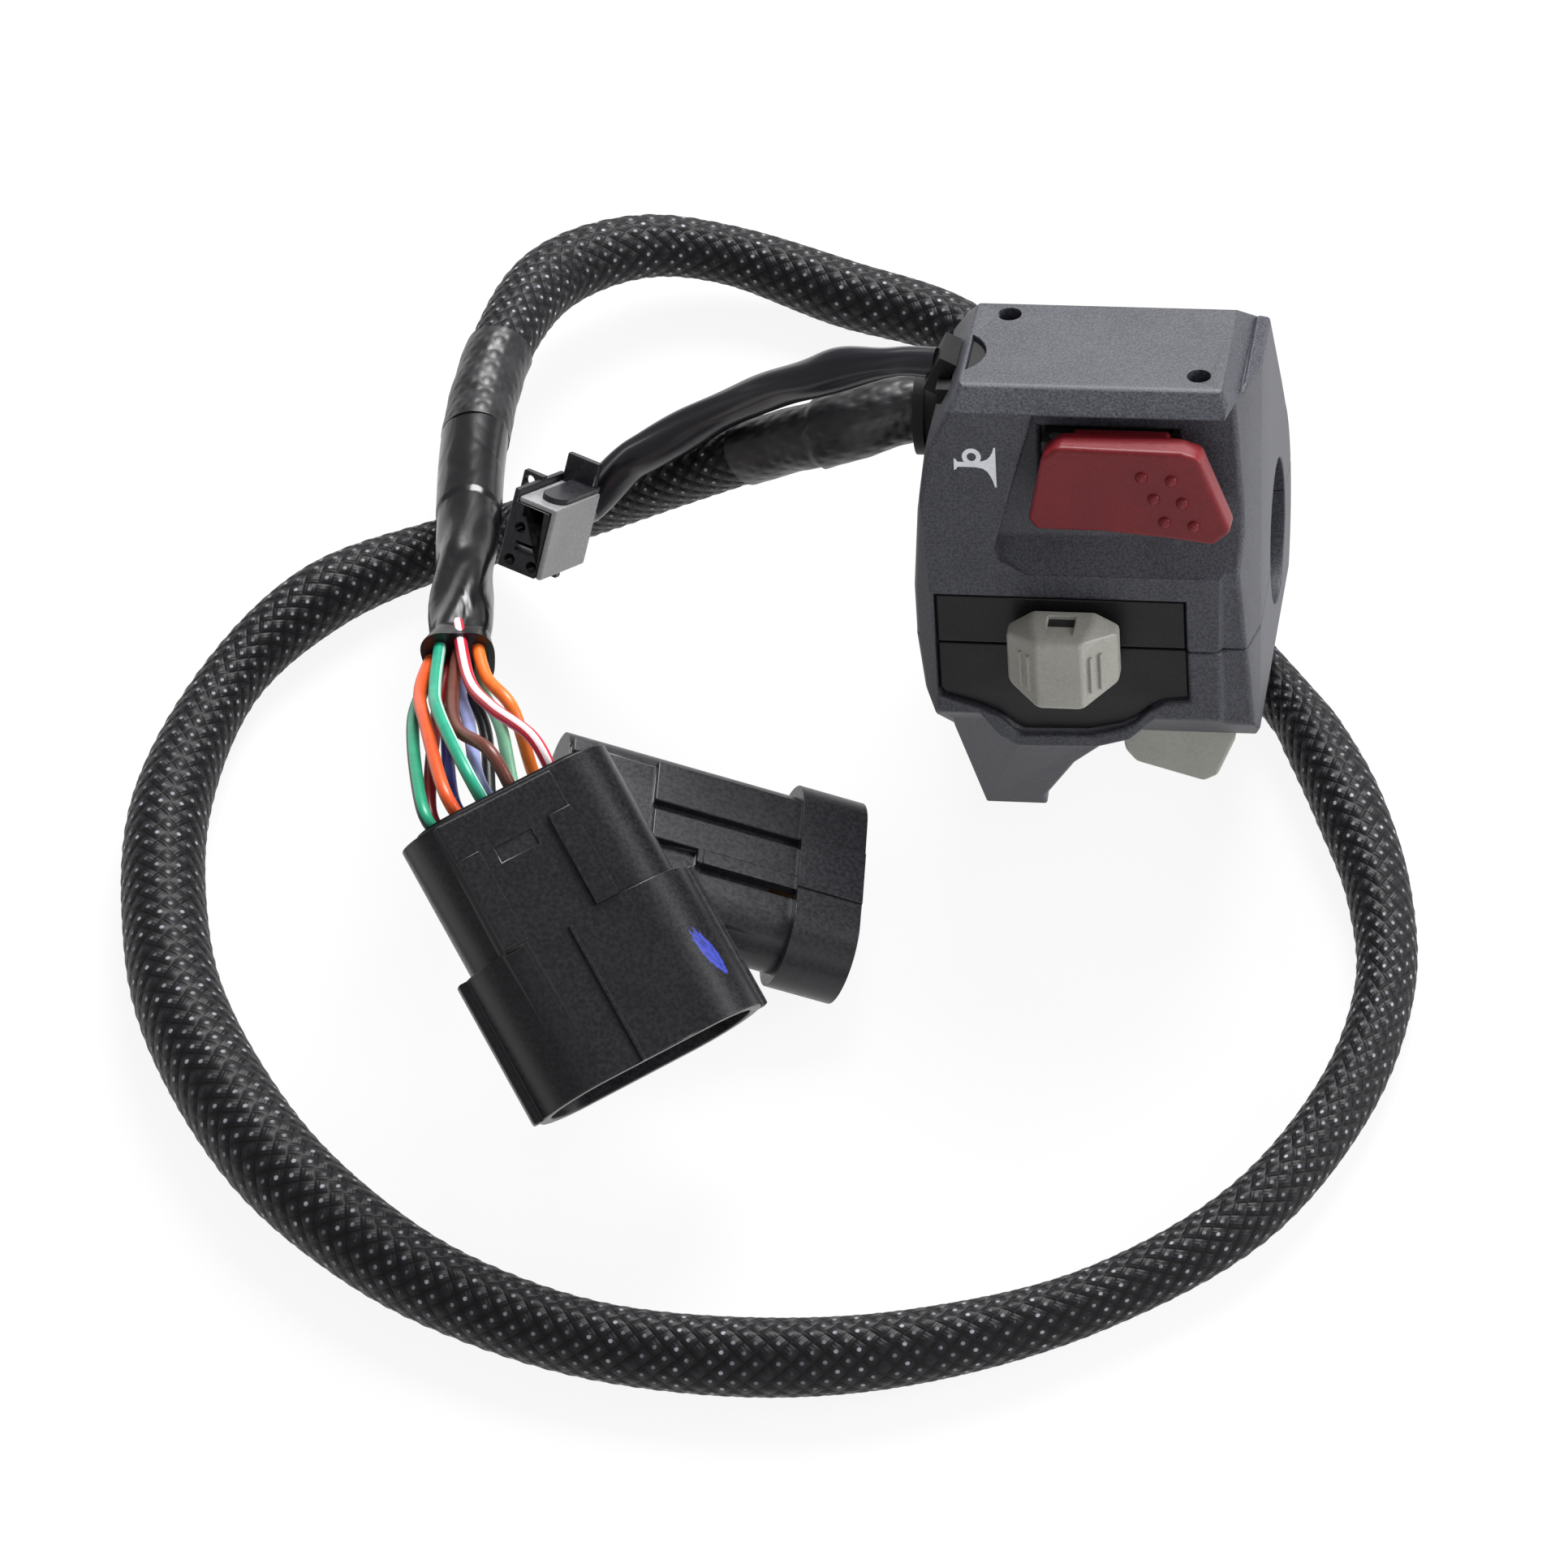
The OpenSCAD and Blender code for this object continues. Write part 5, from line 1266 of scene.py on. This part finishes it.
@dataclass
class Studio:
    """The table, the light and the camera, with lens and sensor in millimetres and the table in metres."""

    camera_mm: Point = (141.11, -803.77, 921.65)
    azimuth: float = 13.8
    elevation: float = 50.0
    roll: float = 8.6
    lens: float = 186.34
    sensor: float = 36.0
    far_clip: float = 20.0
    table_size: float = 40.0
    table_gap_mm: float = 0.1
    table_tones: tuple[str, str] = ("f4f4f4", "f1f1f1")
    cloud_size: float = 1 / 3
    glow_share: float = 0.9
    world_light: float = 0.32
    hung: tuple[Lamp, ...] = (
        Lamp("key", (0.1, 0.85, 0.95), 0.6, 25.0),
        Lamp("side", (1.1, 0.1, 0.45), 0.5, 9.0),
        Lamp("fill", (0.3, -1.2, 0.7), 0.9, 3.5),
    )

    def build(self) -> None:
        """Sets the table, lamps, world and camera."""
        self.table()
        self.world()
        self.lamps()
        self.camera()

    def table(self) -> None:
        """Lays a matt white table under the object, which the camera sees almost as pure white."""
        bpy.ops.object.select_all(action="DESELECT")
        below = (0, 0, (TABLE_Z - self.table_gap_mm) * MM)
        bpy.ops.mesh.primitive_plane_add(size=self.table_size, location=below)
        top = bpy.context.active_object
        top.name = "table"
        made, add = blank_material("white table")
        cloud = add("TexNoise", Vector=add("TexCoord", "Object"), Scale=1 / self.cloud_size)
        clear, dim = (linear(tone) for tone in self.table_tones)
        tone = add("Mix", 2, data_type="RGBA", i0=cloud, i6=clear, i7=dim)
        matt = add("BsdfDiffuse", Color=tone)
        glow = add("Emission", Color=(1, 1, 1, 1), Strength=1.0)
        share = add("Math", operation="MULTIPLY", i0=self.seen(add), i1=self.glow_share)
        add("OutputMaterial", Surface=add("MixShader", i0=share, i1=matt, i2=glow))
        top.data.materials.append(made)

    def world(self) -> None:
        """Puts a pale world round the table."""
        world = bpy.data.worlds.new("pale studio")
        bpy.context.scene.world = world
        world.use_nodes = True
        world.node_tree.nodes.clear()
        add = partial(add_node, world.node_tree)
        add("OutputWorld", Surface=add("Background", Color=(1, 1, 1, 1), Strength=self.world_light))

    @staticmethod
    def seen(add: AddNode) -> Socket:
        """Adds the test for rays of the camera and for rays that a gloss or a glass sends on.

        Args:
            add: add_node for the tree.

        Returns:
            One for such rays, nought for the rest.
        """
        path = add("LightPath").node.outputs
        gloss = add("Math", operation="MAXIMUM", i0=path["Is Glossy Ray"], i1=path["Is Transmission Ray"])
        return add("Math", operation="MAXIMUM", i0=path["Is Camera Ray"], i1=gloss)

    def lamps(self) -> None:
        """Hangs the main lamp above the back, and weaker ones at the right and the front."""
        for lamp in self.hung:
            light = bpy.data.lights.new(lamp.name, "AREA")
            light.size = lamp.width
            light.energy = lamp.power
            held = bpy.data.objects.new(lamp.name, light)
            held.location = lamp.place
            held.rotation_euler = (-Vector(lamp.place)).to_track_quat("-Z", "Y").to_euler()
            bpy.context.scene.collection.objects.link(held)

    def camera(self) -> None:
        """Puts the camera at the photograph's viewpoint."""
        a, e, r = (math.radians(v) for v in (self.azimuth, self.elevation, self.roll))
        back = Vector((math.sin(a) * math.cos(e), -math.cos(a) * math.cos(e), math.sin(e)))
        flat = Vector((math.cos(a), math.sin(a), 0))
        tall = back.cross(flat)
        right = flat * math.cos(r) - tall * math.sin(r)
        up = tall * math.cos(r) + flat * math.sin(r)
        data = bpy.data.cameras.new("photo")
        data.lens = self.lens
        data.sensor_width = self.sensor
        data.clip_end = self.far_clip
        held = bpy.data.objects.new("photo", data)
        turn = Matrix((right, up, back)).transposed()
        held.matrix_world = Matrix.Translation(Vector(self.camera_mm) * MM) @ turn.to_4x4()
        bpy.context.scene.collection.objects.link(held)
        bpy.context.scene.camera = held


def dress_nodes() -> None:
    """Gives every CAD node the finish of its record slot."""
    slots = {entry["node"]: entry["material_slot"] for entry in frame["record"]["subparts"]}
    for name, node in frame["nodes"].items():
        finish = SLOT_FINISH.get(slots[name], INSULATOR)
        node.data.materials.clear()
        node.data.materials.append(shared_material(finish))


def main() -> None:
    """Builds the sub-assemblies in order."""
    logging.basicConfig(level=logging.INFO, format="%(message)s")
    bpy.context.scene.view_settings.view_transform = "Standard"
    dress_nodes()
    Studio().build()
    connectors = Connectors()
    connectors.build()
    Harness().build(connectors)
    SwitchCase().build()
    HornSign().build()
    Controls().build()


if __name__ == "__main__":
    main()
